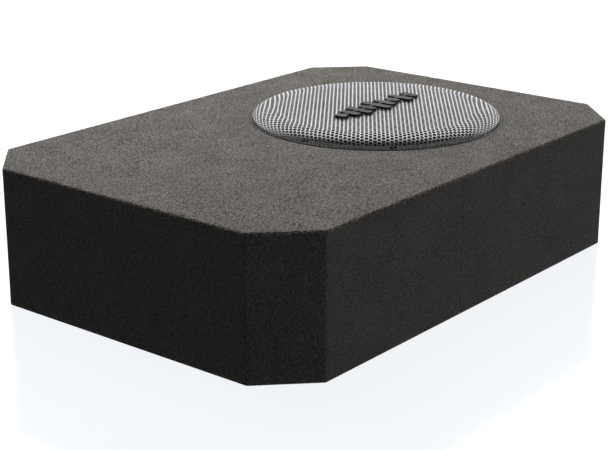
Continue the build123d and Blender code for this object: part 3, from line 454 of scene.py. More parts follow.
def make_finishes(look):
    """Every finish of the subwoofer, by the name of the surface."""
    carpet = (look.carpet_dark_and_hollow_shade, look.carpet_light)
    finishes = {
        "car_carpet": felt_carpet("needle_punched_felt_carpet", carpet, look.carpet_sheen),
        # The side strip has a copy of the felt with a wider ramp: its tufts, and the painted shade between
        # them, are fainter than on the top.
        "taut_carpet": felt_carpet("needle_punched_felt_pulled_taut", carpet, look.carpet_sheen, 0.38,
            0.88),
        "carpet_fibre": felt_carpet("loose_polyester_fibre", (look.fibre_dark, look.fibre_light),
            look.carpet_sheen),
        "silver_mesh": silvered_steel("silver_lacquered_steel", (look.mesh_dark, look.mesh_light), 0.19),
        "fibreboard": pressed_fibre("medium_density_fibreboard", "8d7048", "b8976a"),
        "acoustic_foam": cell_foam("open_cell_acoustic_foam", "191a1d", "3a3c41"),
        "gasket_foam": cell_foam("closed_cell_gasket_foam", "121214", "2a2a2c", 0.5, 0.12),
        "black_abs": moulded_plastic("moulded_black_abs", "0d0d0e", "161617", 0.42),
        "badge_plastic": moulded_plastic("satin_black_abs", "0a0a0b", "111112", 0.5, 0.5, 0.02),
        "basket_paint": powder_coat("black_powder_coated_steel", "101112", "1a1b1c", 0.42),
        "surround_rubber": soft_rubber("black_butyl_rubber", "0f0f10", "1d1d1e"),
        "paper_cone": pressed_fibre("pressed_paper_pulp", "121213", "242426", 1.1, 0.8, 0.12),
        "spider_cloth": woven("resin_stiffened_cotton", "8a6a2e", "c7a055"),
        "former_aluminium": worked_metal("rolled_aluminium_foil", "b9bbbd", "d6d8da", 0.28),
        "copper_wire": wound_wire("enamelled_copper_wire", "6d2f14", "c9713a"),
        "plated_steel": worked_metal("zinc_plated_steel", "9b9c98", "c3c4c0", 0.32),
        "ferrite": sintered("ground_ferrite", "17181a", "2b2c2f"),
        "black_screw": worked_metal("black_oxide_steel", "17181a", "2b2c2e", 0.38, 0.3),
        "amp_coat": powder_coat("black_textured_powder_coat", "121314", "1e1f21", 0.55, 0.9, 0.12),
        "bare_aluminium": worked_metal("extruded_aluminium", "a9abad", "cfd1d3", 0.3),
        "board_green": printed_board("green_glass_epoxy_board"),
        "capacitor_sleeve": moulded_plastic("shrunk_vinyl_sleeve", "13141c", "1f2130", 0.3, 0.9, 0.01, 0.3),
        "knob_plastic": moulded_plastic("matt_black_nylon", "101011", "1b1b1c", 0.5, 0.5, 0.02),
        "rca_white": moulded_plastic("white_polythene", "dcdcd6", "eeeeea", 0.35, 0.6, 0.01),
        "rca_red": moulded_plastic("red_polythene", "a10f12", "c01a1c", 0.35, 0.6, 0.01),
        "nickel": worked_metal("bright_nickel_plate", "b4b1a8", "d8d5cc", 0.16, 0.25),
        "brass_contact": worked_metal("rolled_brass", "a97c2c", "d9ad55", 0.26),
        "fuse_plastic": clear_lens("tinted_polycarbonate_fuse", ("a8261c", "c63a2a")),
        "lamp_lens": clear_lens("tinted_acrylic_lamp", ("b3120e", "d8261c")),
        "lead_sheath": soft_rubber("extruded_vinyl_sheath", "161617", "262627", 0.42),
        "panel_print": powder_coat("white_screen_print", "d4d4d0", "e8e8e4", 0.6, 0.4, 0.01),
        "tinsel": woven("braided_copper_tinsel", "7a4a28", "c98a5a", 0.5, 0.45),
    }
    return finishes


FINISHES = {}


def finish_of(name):
    """The finish of that name, made at its first use."""
    if not FINISHES:
        FINISHES.update(make_finishes(bpy.context.scene.subwoofer_look))
    return FINISHES[name]


# ---------------------------------------------------------------- the box's outline

BOX_LOW, BOX_HIGH = box_mm("carpet_bottom")
TOP_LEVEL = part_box("carpet_top")[1].z * 1000
TOP_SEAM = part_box("carpet_top")[0].z * 1000
LONG, SHORT = BOX_HIGH[0] - BOX_LOW[0], BOX_HIGH[1] - BOX_LOW[1]
RING_LOW, RING_HIGH = box_mm("grille_ring")
DRIVER = ((RING_LOW[0] + RING_HIGH[0]) / 2, (RING_LOW[1] + RING_HIGH[1]) / 2)
RING_RADIUS = (RING_HIGH[0] - RING_LOW[0]) / 2
FELT = 2.7
SHARP_FELT = radians(55)


def outline(corner_leg, rounding, spacing, breaks_front=(), breaks_rear=()):
    """The plan of the box as (x, y, outward x, outward y), anticlockwise from the right end."""
    a, b, leg = LONG / 2, SHORT / 2, corner_leg
    corners = [(a, leg - b), (a, b - leg), (a - leg, b), (leg - a, b),
               (-a, b - leg), (-a, leg - b), (leg - a, -b), (a - leg, -b)]
    trim = rounding * tan(pi / 8)
    found = []
    for k, here in enumerate(corners):
        there = corners[(k + 1) % 8]
        long = hypot(there[0] - here[0], there[1] - here[1])
        way = ((there[0] - here[0]) / long, (there[1] - here[1]) / long)
        out = (way[1], -way[0])
        stops = set(np.linspace(trim, long - trim, max(2, ceil((long - 2 * trim) / spacing) + 1)).round(4))
        extra = breaks_rear if out[1] > 0.9 else breaks_front if out[1] < -0.9 else ()
        ends = (round(trim, 4), round(long - trim, 4))
        clear = {s for s in stops if all(abs(here[0] + way[0] * s - x) > 1.2 for x in extra)}
        stops = clear | {s for s in stops if s in ends}
        stops |= {abs(x - here[0]) for x in extra}
        for s in sorted(stops):
            found.append((here[0] + way[0] * s, here[1] + way[1] * s, out[0], out[1]))
        end = (there[0] - way[0] * trim - out[0] * rounding, there[1] - way[1] * trim - out[1] * rounding)
        turn = atan2(out[1], out[0])
        for step in range(1, 5):
            angle = turn + pi / 4 * step / 5
            found.append((end[0] + rounding * cos(angle), end[1] + rounding * sin(angle), cos(angle),
                sin(angle)))
    return found


def skin_of(loops, close=False):
    """The points and faces of the skin that joins equal loops."""
    count = len(loops[0])
    points = [p for loop in loops for p in loop]
    faces = []
    rows = len(loops) if close else len(loops) - 1
    for row in range(rows):
        here, there = row * count, ((row + 1) % len(loops)) * count
        for j in range(count):
            n = (j + 1) % count
            faces.append((here + j, here + n, there + n, there + j))
    return points, faces


def dip(x, y, size, depth):
    """A slow unevenness of a stretched cover, from 0 down to -depth."""
    return -depth * (0.5 + 0.5 * noise.noise(Vector((x / size, y / size, 3.7))))


def top_cover(look):
    """The cover of the top: rolled outer edge, cut hole for the grille's ring."""
    edge = outline(look.corner_leg, look.corner_rounding, 2.6)
    angles = [atan2(y - DRIVER[1], x - DRIVER[0]) for x, y, _, _ in edge]
    hole = RING_RADIUS + 0.3
    roll = look.edge_roll

    def circle(radius, level):
        return [(DRIVER[0] + radius * cos(a), DRIVER[1] + radius * sin(a), level) for a in angles]

    def rim(inset, level):
        return [(x - nx * inset, y - ny * inset, level) for x, y, nx, ny in edge]

    inner = circle(hole + 0.7, TOP_LEVEL)
    outer = rim(roll, TOP_LEVEL)
    loops = [circle(hole, TOP_SEAM + 0.05), circle(hole, TOP_LEVEL - 0.7),
        circle(hole + 0.2, TOP_LEVEL - 0.2)]
    rows = 56
    for row in range(rows + 1):
        share = row / rows
        loop = []
        for p, q in zip(inner, outer):
            x, y = p[0] + (q[0] - p[0]) * share, p[1] + (q[1] - p[1]) * share
            loop.append((x, y, TOP_LEVEL + dip(x, y, 55, 0.25) * min(1, 6 * share, 6 * (1 - share))))
        loops.append(loop)
    for step in range(1, 6):
        angle = pi / 2 * step / 5
        loops.append(rim(roll - roll * sin(angle), TOP_LEVEL - roll + roll * cos(angle)))
    loops.append(rim(0, TOP_SEAM))
    points, faces = skin_of(loops, close=True)
    mesh = face_outwards(mesh_from("carpet_top_cover", points, faces))
    sharpen(mesh, SHARP_FELT)
    return mesh


def side_cover(look):
    """The strip round the sides, butted at one seam, with a window for the amplifier panel."""
    gap = 0.3
    low, high = box_mm("amp_panel")
    window = (low[0] - gap, high[0] + gap, low[2] - gap, high[2] + gap)
    seam = look.seam_place
    near = (0.0, 0.3, 0.7, 1.3, 2.4)
    breaks = sorted({seam + s * d for d in near for s in (-1, 1)})
    edge = outline(look.corner_leg, look.corner_rounding, 3.0, breaks, window[:2])
    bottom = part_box("carpet_side")[0].z * 1000
    levels = sorted(set(np.linspace(bottom, TOP_SEAM, 34).round(3)) | {round(v, 3) for v in window[2:]})
    levels = [z for z in levels if z in [round(v,
        3) for v in window[2:]] or all(abs(z - w) > 0.8 for w in window[2:])]
    loops = []
    for z in levels:
        loop = []
        for x, y, nx, ny in edge:
            sink = 0.0
            if ny < -0.9:
                sink = look.seam_depth * (0.55 + 0.45 * noise.noise(Vector((z / 9, 0.0,
                    1.0)))) * np.exp(-((x - seam) / 0.6) ** 2)
            waver = -dip(x + y * 0.7, z, 48, 0.22) * min(1, (z - bottom) / 12, (TOP_SEAM - z) / 12)
            loop.append((x - nx * (sink + waver), y - ny * (sink + waver), z))
        loops.append(loop)
    points, faces = skin_of(loops)
    kept = []
    for face in faces:
        x, y, z = [sum(points[i][k] for i in face) / 4 for k in range(3)]
        if y > SHORT / 2 - 1 and window[0] < x < window[1] and window[2] < z < window[3]:
            continue
        kept.append(face)
    mesh = mesh_from("carpet_side_cover", points, kept)
    shell = bmesh.new()
    shell.from_mesh(mesh)
    bmesh.ops.delete(shell, geom=[v for v in shell.verts if not v.link_faces], context="VERTS")
    shell.to_mesh(mesh)
    shell.free()
    strip = bpy.data.objects.new("strip", mesh)
    bpy.context.scene.collection.objects.link(strip)
    thick = strip.modifiers.new("Felt Thickness", "SOLIDIFY")
    thick.thickness, thick.offset, thick.use_even_offset = FELT * MM, -1.0, True
    depsgraph = bpy.context.evaluated_depsgraph_get()
    felt = bpy.data.meshes.new_from_object(strip.evaluated_get(depsgraph), depsgraph=depsgraph)
    felt.name = "carpet_side_cover"
    bpy.data.objects.remove(strip)
    sharpen(felt, SHARP_FELT)
    return felt


def bottom_cover(look):
    """The cover of the underside, rolled at its lower edge."""
    edge = outline(look.corner_leg, look.corner_rounding, 5.0)
    high = BOX_HIGH[2]

    def rim(inset, level):
        return [(x - nx * inset, y - ny * inset, level) for x, y, nx, ny in edge]

    def shrunk(share, level):
        return [(x * share, y * share, level) for x, y, _, _ in edge]

    loops = [shrunk(share, high) for share in (0.02, 0.5, 0.9)] + [rim(0.02, high), rim(0, high - 0.4)]
    loops += [rim(1.4 - 1.4 * cos(a), 1.4 - 1.4 * sin(a)) for a in (0.0, 0.4, 0.8, 1.2, pi / 2)]
    loops += [shrunk(share, BOX_LOW[2]) for share in (0.985, 0.9, 0.7, 0.45, 0.2, 0.02)]
    points, faces = skin_of(loops)
    count = len(edge)
    faces.append(tuple(range(count)))
    faces.append(tuple(range((len(loops) - 1) * count, len(loops) * count)))
    return face_outwards(mesh_from("carpet_bottom_cover", points, faces))


def fibre_tree():
    """Short bent fibres scattered over a cover."""
    tree, group = new_tree("loose_fibres", {
        "Density": ("Float", 60000.0), "Length": ("Float", 0.0024), "Thickness": ("Float", 0.00009),
        "Lift": ("Float", 0.0006), "Seed": ("Int", 11), "Material": ("Material", None)}, geometry_in=True)
    scattered = add(tree, "GeometryNodeDistributePointsOnFaces", {
        "Mesh": group.outputs["Geometry"], "Density": group.outputs["Density"],
            "Seed": group.outputs["Seed"]})
    middle = add(tree, "ShaderNodeCombineXYZ",
        {0: add(tree, "ShaderNodeMath", {0: group.outputs["Length"], 1: 0.45},
            operation="MULTIPLY").outputs[0],
                                                1: add(tree, "ShaderNodeMath",
                                                    {0: group.outputs["Length"], 1: 0.3},
                                                        operation="MULTIPLY").outputs[0],
                                                2: group.outputs["Lift"]})
    end = add(tree, "ShaderNodeCombineXYZ", {0: group.outputs["Length"],
        2: add(tree, "ShaderNodeMath", {0: group.outputs["Lift"], 1: 0.5},
            operation="MULTIPLY").outputs[0]})
    bend = add(tree, "GeometryNodeCurveQuadraticBezier",
        {"Resolution": 2, "Start": (0.0, 0.0, -0.0001), "Middle": middle.outputs[0], "End": end.outputs[0]})
    section = add(tree, "GeometryNodeCurvePrimitiveCircle",
        {"Resolution": 3, "Radius": group.outputs["Thickness"]})
    fibre = add(tree, "GeometryNodeCurveToMesh",
        {"Curve": bend.outputs[0], "Profile Curve": section.outputs[0]})
    spin = add(tree, "FunctionNodeRandomValue",
        {"Min": (-0.15, -0.45, 0.0), "Max": (0.15, 0.25, 6.2832), "Seed": 5}, data_type="FLOAT_VECTOR")
    turn = add(tree, "FunctionNodeRotateRotation", {0: scattered.outputs["Rotation"], 1: spin.outputs[0]},
        rotation_space="LOCAL")
    size = add(tree, "FunctionNodeRandomValue", {2: 0.5, 3: 1.4, "Seed": 9}, data_type="FLOAT")
    planted = add(tree, "GeometryNodeInstanceOnPoints", {
        "Points": scattered.outputs["Points"], "Instance": fibre.outputs[0], "Rotation": turn.outputs[0],
            "Scale": size.outputs[1]})
    close_tree(tree, planted.outputs[0], group)
    return tree


# ---------------------------------------------------------------- the grille

def grille_tree():
    """A sheet of hexagon holes in close-packed rows, pressed to the grille's pan shape."""
    tree, group = new_tree("punched_grille", {
        "Pitch": ("Float", 0.005), "Hole": ("Float", 0.0042), "Sheet": ("Float", 0.001),
            "Edge Break": ("Float", 0.0002),
        "Row Angle": ("Float", 0.65), "Flat Radius": ("Float", 0.113), "Rim Run": ("Float", 0.024),
            "Rim Climb": ("Float", 0.011),
        "Rim Length": ("Float", 0.029), "Skirt": ("Float", 0.002), "Bend Level": ("Float", 0.146),
            "Centre": ("Vector", None),
        "Rows": ("Int", 70), "Material": ("Material", None)})
    ins = group.outputs

    def calc(operation, *terms):
        return add(tree, "ShaderNodeMath", list(terms), operation=operation).outputs[0]

    # One cell: the web round a hole, with a broken edge, the punched wall and the underside.
    cell_radius = calc("DIVIDE", ins["Pitch"], sqrt(3))
    hole_radius = calc("DIVIDE", ins["Hole"], sqrt(3))
    lip_radius = calc("ADD", hole_radius, ins["Edge Break"])
    plate = add(tree, "GeometryNodeMeshCircle", {"Vertices": 6, "Radius": cell_radius}, fill_type="NGON")
    geometry = plate.outputs[0]
    drop_edge = calc("MULTIPLY", ins["Edge Break"], -1.0)
    drop_wall = calc("SUBTRACT", ins["Edge Break"], ins["Sheet"])
    steps = [(0.0, calc("DIVIDE", lip_radius, cell_radius)),
        (drop_edge, calc("DIVIDE", hole_radius, lip_radius)),
             (drop_wall, 1.0), (0.0, calc("DIVIDE", cell_radius, hole_radius))]
    top = None
    for fall, ratio in steps:
        links = {"Mesh": geometry, "Offset": (0.0, 0.0, 1.0), "Offset Scale": fall, "Individual": False}
        if top is not None:
            links["Selection"] = top
        pushed = add(tree, "GeometryNodeExtrudeMesh", links, mode="FACES")
        top = pushed.outputs["Top"]
        scaled = add(tree, "GeometryNodeScaleElements",
            {"Geometry": pushed.outputs["Mesh"], "Selection": top, "Scale": ratio}, domain="FACE")
        geometry = scaled.outputs[0]
    cell = add(tree, "GeometryNodeDeleteGeometry", {"Geometry": geometry, "Selection": top}, domain="FACE")

    # Close-packed rows.
    rows = ins["Rows"]
    span = calc("MULTIPLY", calc("SUBTRACT", rows, 1.0), ins["Pitch"])
    rise = calc("MULTIPLY", span, sqrt(3) / 2)
    grid = add(tree, "GeometryNodeMeshGrid",
        {"Size X": rise, "Size Y": span, "Vertices X": rows, "Vertices Y": rows})
    index = add(tree, "GeometryNodeInputIndex").outputs[0]
    row = calc("FLOOR", calc("DIVIDE", calc("ADD", index, 0.5), rows))
    shift = calc("MULTIPLY", calc("MODULO", row, 2.0), calc("MULTIPLY", ins["Pitch"], 0.5))
    staggered = add(tree, "GeometryNodeSetPosition",
        {"Geometry": grid.outputs[0], "Offset": add(tree, "ShaderNodeCombineXYZ", {1: shift}).outputs[0]})
    where = add(tree, "GeometryNodeInputPosition").outputs[0]
    reach = add(tree, "ShaderNodeVectorMath", [where], operation="LENGTH").outputs["Value"]
    whole = calc("ADD", calc("ADD", ins["Flat Radius"], ins["Rim Length"]), ins["Skirt"])
    outside = calc("GREATER_THAN", reach, calc("SUBTRACT", whole, calc("MULTIPLY", ins["Pitch"], 0.35)))
    dots = add(tree, "GeometryNodeDeleteGeometry", {"Geometry": staggered.outputs[0], "Selection": outside},
        domain="POINT")
    placed = add(tree, "GeometryNodeInstanceOnPoints",
        {"Points": dots.outputs[0], "Instance": cell.outputs[0]})
    real = add(tree, "GeometryNodeRealizeInstances", [placed.outputs[0]])
    merged = add(tree, "GeometryNodeMergeByDistance", {"Geometry": real.outputs[0], "Distance": 0.00004})
    turned_rows = add(tree, "ShaderNodeCombineXYZ", {2: ins["Row Angle"]})
    aligned = add(tree, "GeometryNodeTransform",
        {"Geometry": merged.outputs[0], "Rotation": turned_rows.outputs[0]})

    # The pressing: distance along the sheet becomes distance along the pan's profile.
    spot = add(tree, "GeometryNodeInputPosition").outputs[0]
    parts = add(tree, "ShaderNodeSeparateXYZ", [spot]).outputs
    flat_spot = add(tree, "ShaderNodeCombineXYZ", [parts[0], parts[1], 0.0]).outputs[0]
    distance = calc("MAXIMUM", add(tree, "ShaderNodeVectorMath", [flat_spot],
        operation="LENGTH").outputs["Value"], 1e-6)
    along = calc("MINIMUM", distance, whole)
    past_flat = calc("MAXIMUM", calc("SUBTRACT", along, ins["Flat Radius"]), 0.0)
    angle = calc("MULTIPLY", calc("MINIMUM", calc("DIVIDE", past_flat, ins["Rim Length"]), 1.0), pi / 2)
    sine, cosine = calc("SINE", angle), calc("COSINE", angle)
    radius = calc("ADD", calc("MINIMUM", along, ins["Flat Radius"]), calc("MULTIPLY", ins["Rim Run"], sine))
    below = calc("MAXIMUM", calc("SUBTRACT", past_flat, ins["Rim Length"]), 0.0)
    level = calc("SUBTRACT", calc("ADD", ins["Bend Level"], calc("MULTIPLY", ins["Rim Climb"], cosine)),
        below)
    lean_out, lean_up = calc("MULTIPLY", ins["Rim Climb"], sine), calc("MULTIPLY", ins["Rim Run"], cosine)
    lean = calc("SQRT", calc("ADD", calc("MULTIPLY", lean_out, lean_out),
        calc("MULTIPLY", lean_up, lean_up)))
    far = calc("ADD", radius, calc("MULTIPLY", parts[2], calc("DIVIDE", lean_out, lean)))
    tall = calc("ADD", level, calc("MULTIPLY", parts[2], calc("DIVIDE", lean_up, lean)))
    scale = calc("DIVIDE", far, distance)
    pressed = add(tree, "ShaderNodeCombineXYZ",
        [calc("MULTIPLY", parts[0], scale), calc("MULTIPLY", parts[1], scale), tall])
    home = add(tree, "ShaderNodeVectorMath", [pressed.outputs[0], ins["Centre"]], operation="ADD")
    shaped = add(tree, "GeometryNodeSetPosition",
        {"Geometry": aligned.outputs[0], "Position": home.outputs[0]})
    close_tree(tree, shaped.outputs[0], group)
    return tree


# ---------------------------------------------------------------- screws and marks

# A bar's corners are its foot, one way round, and then its face in the same order.
BAR_FACES = [(0, 1, 2, 3), (7, 6, 5, 4), (0, 4, 5, 1), (1, 5, 6, 2), (2, 6, 7, 3), (3, 7, 4, 0)]


def cross_head(radius, height, recess=0.55, cross=0.17, steps=28):
    """A domed screw head with a cross recess, in millimetres, standing on its own foot at level 0."""
    shoulder = height * 0.55
    profile = ((radius * 0.98, -0.3), (radius, 0.0), (radius, shoulder * 0.6), (radius * 0.93, shoulder),
               (radius * 0.8, height * 0.85), (radius * 0.66, height))
    loops = []
    for r, z in profile:
        loops.append([(r * cos(2 * pi * k / steps), r * sin(2 * pi * k / steps), z) for k in range(steps)])
    points, faces = skin_of(loops)
    faces.append(tuple(range(steps))[::-1])
    reach, half = radius * recess, radius * cross
    outline_points = []
    for k in range(4):
        a = pi / 2 * k
        for u, v in ((reach, -half), (reach, half), (half, half)):
            outline_points.append((u * cos(a) - v * sin(a), u * sin(a) + v * cos(a)))
    first = len(points)
    depth = height * 0.7
    points += [(x, y, height) for x, y in outline_points]
    points += [(x * 0.7, y * 0.7, height - depth) for x, y in outline_points]
    count = len(outline_points)
    for k in range(count):
        n = (k + 1) % count
        faces.append((first + k, first + n, first + count + n, first + count + k))
    faces.append(tuple(range(first + count, first + 2 * count)))
    top_loop = [Vector(p) for p in loops[-1]]
    cross_loop = [Vector((x, y, height)) for x, y in outline_points][::-1]
    numbers = [(len(loops) - 1) * steps + k for k in range(steps)] + [first + k for k in range(count)][::-1]
    faces += [tuple(numbers[i] for i in triangle) for triangle in tessellate_polygon([top_loop,
        cross_loop])]
    mesh = face_outwards(mesh_from("cross_head", points, faces))
    sharpen(mesh, radians(38))
    return mesh


def planted_tree():
    """One small shape stood on every point of a mesh, each with its own turn."""
    tree, group = new_tree("planted_fasteners", {
        "Shape": ("Object", None), "Tilt": ("Vector", None), "Seed": ("Int", 3),
            "Material": ("Material", None)}, geometry_in=True)
    shape = add(tree, "GeometryNodeObjectInfo", {"Object": group.outputs["Shape"]})
    spin = add(tree, "FunctionNodeRandomValue",
        {"Min": (0.0, 0.0, 0.0), "Max": (0.0, 0.0, 1.5708), "Seed": group.outputs["Seed"]},
            data_type="FLOAT_VECTOR")
    tilt = add(tree, "FunctionNodeEulerToRotation", [group.outputs["Tilt"]])
    turn = add(tree, "FunctionNodeRotateRotation", {0: tilt.outputs[0], 1: spin.outputs[0]},
        rotation_space="LOCAL")
    dots = add(tree, "GeometryNodeMeshToPoints", [group.outputs["Geometry"]])
    placed = add(tree, "GeometryNodeInstanceOnPoints",
        {"Points": dots.outputs[0], "Instance": shape.outputs["Geometry"], "Rotation": turn.outputs[0]})
    close_tree(tree, placed.outputs[0], group)
    return tree


def plant(name, shape, places, tilt, material, tree):
    """Stands a shape on each place (in millimetres) and returns the joined mesh."""
    model = bpy.data.objects.new(name + "_shape", shape)
    bpy.context.scene.collection.objects.link(model)
    base = mesh_from(name + "_places", places, [])
    mesh = grown(name, tree, {"Shape": model, "Tilt": tilt, "Seed": 3, "Material": material}, base)
    bpy.data.objects.remove(model)
    return mesh


# ---------------------------------------------------------------- what a user would change

class SubwooferLook(bpy.types.PropertyGroup):
    # The dark end of the felt's tone: partly the felt's own colour, partly painted shade in the hollows
    # between tufts.
    carpet_dark_and_hollow_shade: bpy.props.StringProperty(name="Carpet Dark",
        description="Felt colour between fibres, sRGB hex", default="3a3835")
    carpet_light: bpy.props.StringProperty(name="Carpet Light",
        description="Felt colour on fibres, sRGB hex", default="a6a19b")
    fibre_dark: bpy.props.StringProperty(name="Fibre Dark", description="Darker loose fibres, sRGB hex",
        default="8f8a84")
    fibre_light: bpy.props.StringProperty(name="Fibre Light", description="Paler loose fibres, sRGB hex",
        default="cfcac3")
    carpet_sheen: bpy.props.FloatProperty(name="Carpet Sheen",
        description="Pale bloom of the fibres seen edge-on", default=0.22, min=0, max=1, subtype="FACTOR")
    corner_leg: bpy.props.FloatProperty(name="Corner Cut",
        description="How far each corner is cut back along both sides, in millimetres", default=51.0, min=5)
    corner_rounding: bpy.props.FloatProperty(name="Corner Rounding",
        description="Radius of the felt round an upright corner, in millimetres", default=4.0, min=1)
    edge_roll: bpy.props.FloatProperty(name="Edge Roll",
        description="Radius of the felt over the top edge, in millimetres", default=2.4, min=0.5)
    seam_place: bpy.props.FloatProperty(name="Seam Place",
        description="Where the side strip's ends meet on the front, in millimetres from the middle",
            default=-35.0)
    seam_depth: bpy.props.FloatProperty(name="Seam Depth",
        description="How far the butted ends sink in, in millimetres", default=0.9, min=0)
    fibre_count: bpy.props.IntProperty(name="Fibres per Square Metre",
        description="Loose fibres that stand on the felt", default=62000, min=0)
    fibre_length: bpy.props.FloatProperty(name="Fibre Length", description="Length of a loose fibre",
        default=0.0018, unit="LENGTH", min=0.0005)
    mesh_dark: bpy.props.StringProperty(name="Grille Dark", description="Duller silver, sRGB hex",
        default="c2c3c6")
    mesh_light: bpy.props.StringProperty(name="Grille Light", description="Brighter silver, sRGB hex",
        default="f4f5f7")
    hole_pitch: bpy.props.FloatProperty(name="Hole Pitch", description="Distance between hole centres",
        default=0.005, unit="LENGTH", min=0.002)
    hole_size: bpy.props.FloatProperty(name="Hole Size", description="Hexagon hole across its flats",
        default=0.00395, unit="LENGTH", min=0.001)
    row_angle: bpy.props.FloatProperty(name="Row Angle", description="Way the close-packed rows run",
        default=radians(37.2), subtype="ANGLE")
    flat_radius: bpy.props.FloatProperty(name="Grille Flat Radius",
        description="Radius of the grille's flat middle", default=0.113, unit="LENGTH", min=0.01)
    bend_above_skirt: bpy.props.FloatProperty(name="Grille Skirt",
        description="Height of the straight skirt under the rim", default=0.002, unit="LENGTH", min=0)


# ---------------------------------------------------------------- operators

class SUBWOOFER_OT_carpet(bpy.types.Operator):
    """Cover the box with felt carpet: top, side strip and underside"""
    bl_idname = "subwoofer.carpet"
    bl_label = "Carpet Covers"

    def execute(self, context):
        look = context.scene.subwoofer_look
        felt = finish_of("car_carpet")
        top = new_piece("carpet_top_cover", top_cover(look), felt)
        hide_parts("carpet_top")
        # The side strip takes the copy of the felt with fainter painted shade between the tufts.
        side = new_piece("carpet_side_cover", side_cover(look), finish_of("taut_carpet"))
        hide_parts("carpet_side")
        bottom = new_piece("carpet_bottom_cover", bottom_cover(look), felt)
        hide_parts("carpet_bottom")
        return {"FINISHED"}


class SUBWOOFER_OT_fibres(bpy.types.Operator):
    """Scatter short loose fibres over the felt of the top and the sides"""
    bl_idname = "subwoofer.fibres"
    bl_label = "Loose Fibres"

    def execute(self, context):
        look = context.scene.subwoofer_look
        tree = fibre_tree()

        def hidden(face, cover):
            """Whether a face of the felt is turned down, or lies on the wall of the hole for the grille."""
            middle = face.calc_center_median()
            by_hole = hypot(middle.x * 1000 - DRIVER[0], middle.y * 1000 - DRIVER[1]) < RING_RADIUS + 1.0
            return face.normal.z < -0.5 or (by_hole and middle.z > 0.1 and cover == "carpet_top_cover")

        for cover, share, seed in (("carpet_top_cover", 1.0, 11), ("carpet_side_cover", 0.12, 23)):
            base = bpy.data.objects[cover].data.copy()
            shell = bmesh.new()
            shell.from_mesh(base)
            inner = [f for f in shell.faces if hidden(f, cover)]
            bmesh.ops.delete(shell, geom=inner, context="FACES")
            shell.to_mesh(base)
            shell.free()
            mesh = grown(cover.replace("cover", "fibres"), tree, {
                "Density": look.fibre_count * share, "Length": look.fibre_length, "Thickness": 0.00012,
                    "Lift": 0.0005,
                "Seed": seed, "Material": finish_of("carpet_fibre")}, base)
            piece = new_piece(mesh.name, mesh, None)
        return {"FINISHED"}


class SUBWOOFER_OT_grille(bpy.types.Operator):
    """Punch and press the steel grille"""
    bl_idname = "subwoofer.grille"
    bl_label = "Perforated Grille"

    def execute(self, context):
        look = context.scene.subwoofer_look
        low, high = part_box("grille_mesh")
        radius = (high.x - low.x) / 2
        bend = low.z + look.bend_above_skirt
        run, climb = radius - look.flat_radius, high.z - bend
        rim = sum(hypot(run * (sin(a + 0.01) - sin(a)),
            climb * (cos(a + 0.01) - cos(a))) for a in np.arange(0, pi / 2, 0.01))
        rows = 2 * ceil((radius + 0.02) / look.hole_pitch / (sqrt(3) / 2)) + 2
        mesh = grown("grille_perforated", grille_tree(), {
            "Pitch": look.hole_pitch, "Hole": look.hole_size, "Sheet": 0.0007, "Edge Break": 0.00018,
                "Row Angle": look.row_angle - pi / 2,
            "Flat Radius": look.flat_radius, "Rim Run": run, "Rim Climb": climb, "Rim Length": rim,
                "Skirt": look.bend_above_skirt,
            "Bend Level": bend, "Centre": (DRIVER[0] * MM, DRIVER[1] * MM, 0.0), "Rows": rows,
                "Material": finish_of("silver_mesh")})
        piece = new_piece("grille_perforated", mesh, None, smooth=False)
        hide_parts("grille_mesh")
        return {"FINISHED"}


class SUBWOOFER_OT_suspension(bpy.types.Operator):
    """Build the surround, the corrugated spider and the tinsel leads"""
    bl_idname = "subwoofer.suspension"
    bl_label = "Surround, Spider and Leads"

    def execute(self, context):
        sectors = 16
        low, high = box_mm("surround")
        outer = (high[0] - low[0]) / 2
        foot, crest = low[2], high[2]
        cone_edge = (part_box("cone")[1].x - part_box("cone")[0].x) * 500
        skin = 1.4
        roll_far = cone_edge + 16.0
        middle, rise = (cone_edge + roll_far) / 2, crest - foot - skin
        half = (roll_far - cone_edge) / 2
        upper = [(cone_edge - 6.7, foot + skin), (cone_edge - 3, foot + skin)]
        upper += [(middle - half * cos(a), foot + skin + rise * sin(a)) for a in np.linspace(0, pi, 17)]
        upper += [(roll_far + 2.5, foot + skin), (outer, foot + skin)]
        under = [(outer, foot), (roll_far + 1, foot)]
        under += [(middle + (half - skin) * cos(a), foot + rise * sin(a)) for a in np.linspace(0, pi, 17)]
        under += [(cone_edge - 1, foot), (cone_edge - 6.7, foot)]
        low, high = box_mm("spider")
        spider_outer, mid = (high[0] - low[0]) / 2, (high[2] + low[2]) / 2
        neck = (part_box("coil_former")[1].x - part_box("coil_former")[0].x) * 500
        start, stop = neck + 4.0, spider_outer - 12.2
        wave = [(neck, mid), (start, mid)]
        wave += [(r, mid + 1.6 * sin(2 * pi * 4 * (r - start) / (stop - start))) for r in np.linspace(start,
            stop, 65)[1:]]
        wave += [(spider_outer, mid)]
        cloth = [(r, z + 0.4) for r, z in wave] + [(r, z - 0.4) for r, z in wave[::-1]]
        jobs = (("surround", upper + under, "surround_rubber", roll_far + 0.5, cone_edge + 0.5),
                ("spider", cloth, "spider_cloth", stop, start))
        for node, profile, finish, fixed, moving in jobs:
            for k in range(sectors):
                a, b = 2 * pi * k / sectors, 2 * pi * (k + 1) / sectors
                mesh = turned(f"{node}_sector_{k + 1:02d}", profile, DRIVER, a, b, 9)
                sharpen(mesh, radians(50))
                piece = new_piece(mesh.name, mesh, finish_of(finish), body=None)
                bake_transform(piece)
                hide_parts(node)
        shell = bmesh.new()
        shell.from_mesh(NODES["tinsel_leads"].data)
        bmesh.ops.remove_doubles(shell, verts=shell.verts, dist=1e-6)
        mesh = bpy.data.meshes.new("tinsel_pair")
        shell.to_mesh(mesh)
        shell.free()
        low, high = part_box("tinsel_leads")
        piece = new_piece("tinsel_pair", mesh, finish_of("tinsel"), body=None)
        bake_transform(piece)
        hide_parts("tinsel_leads")
        return {"FINISHED"}


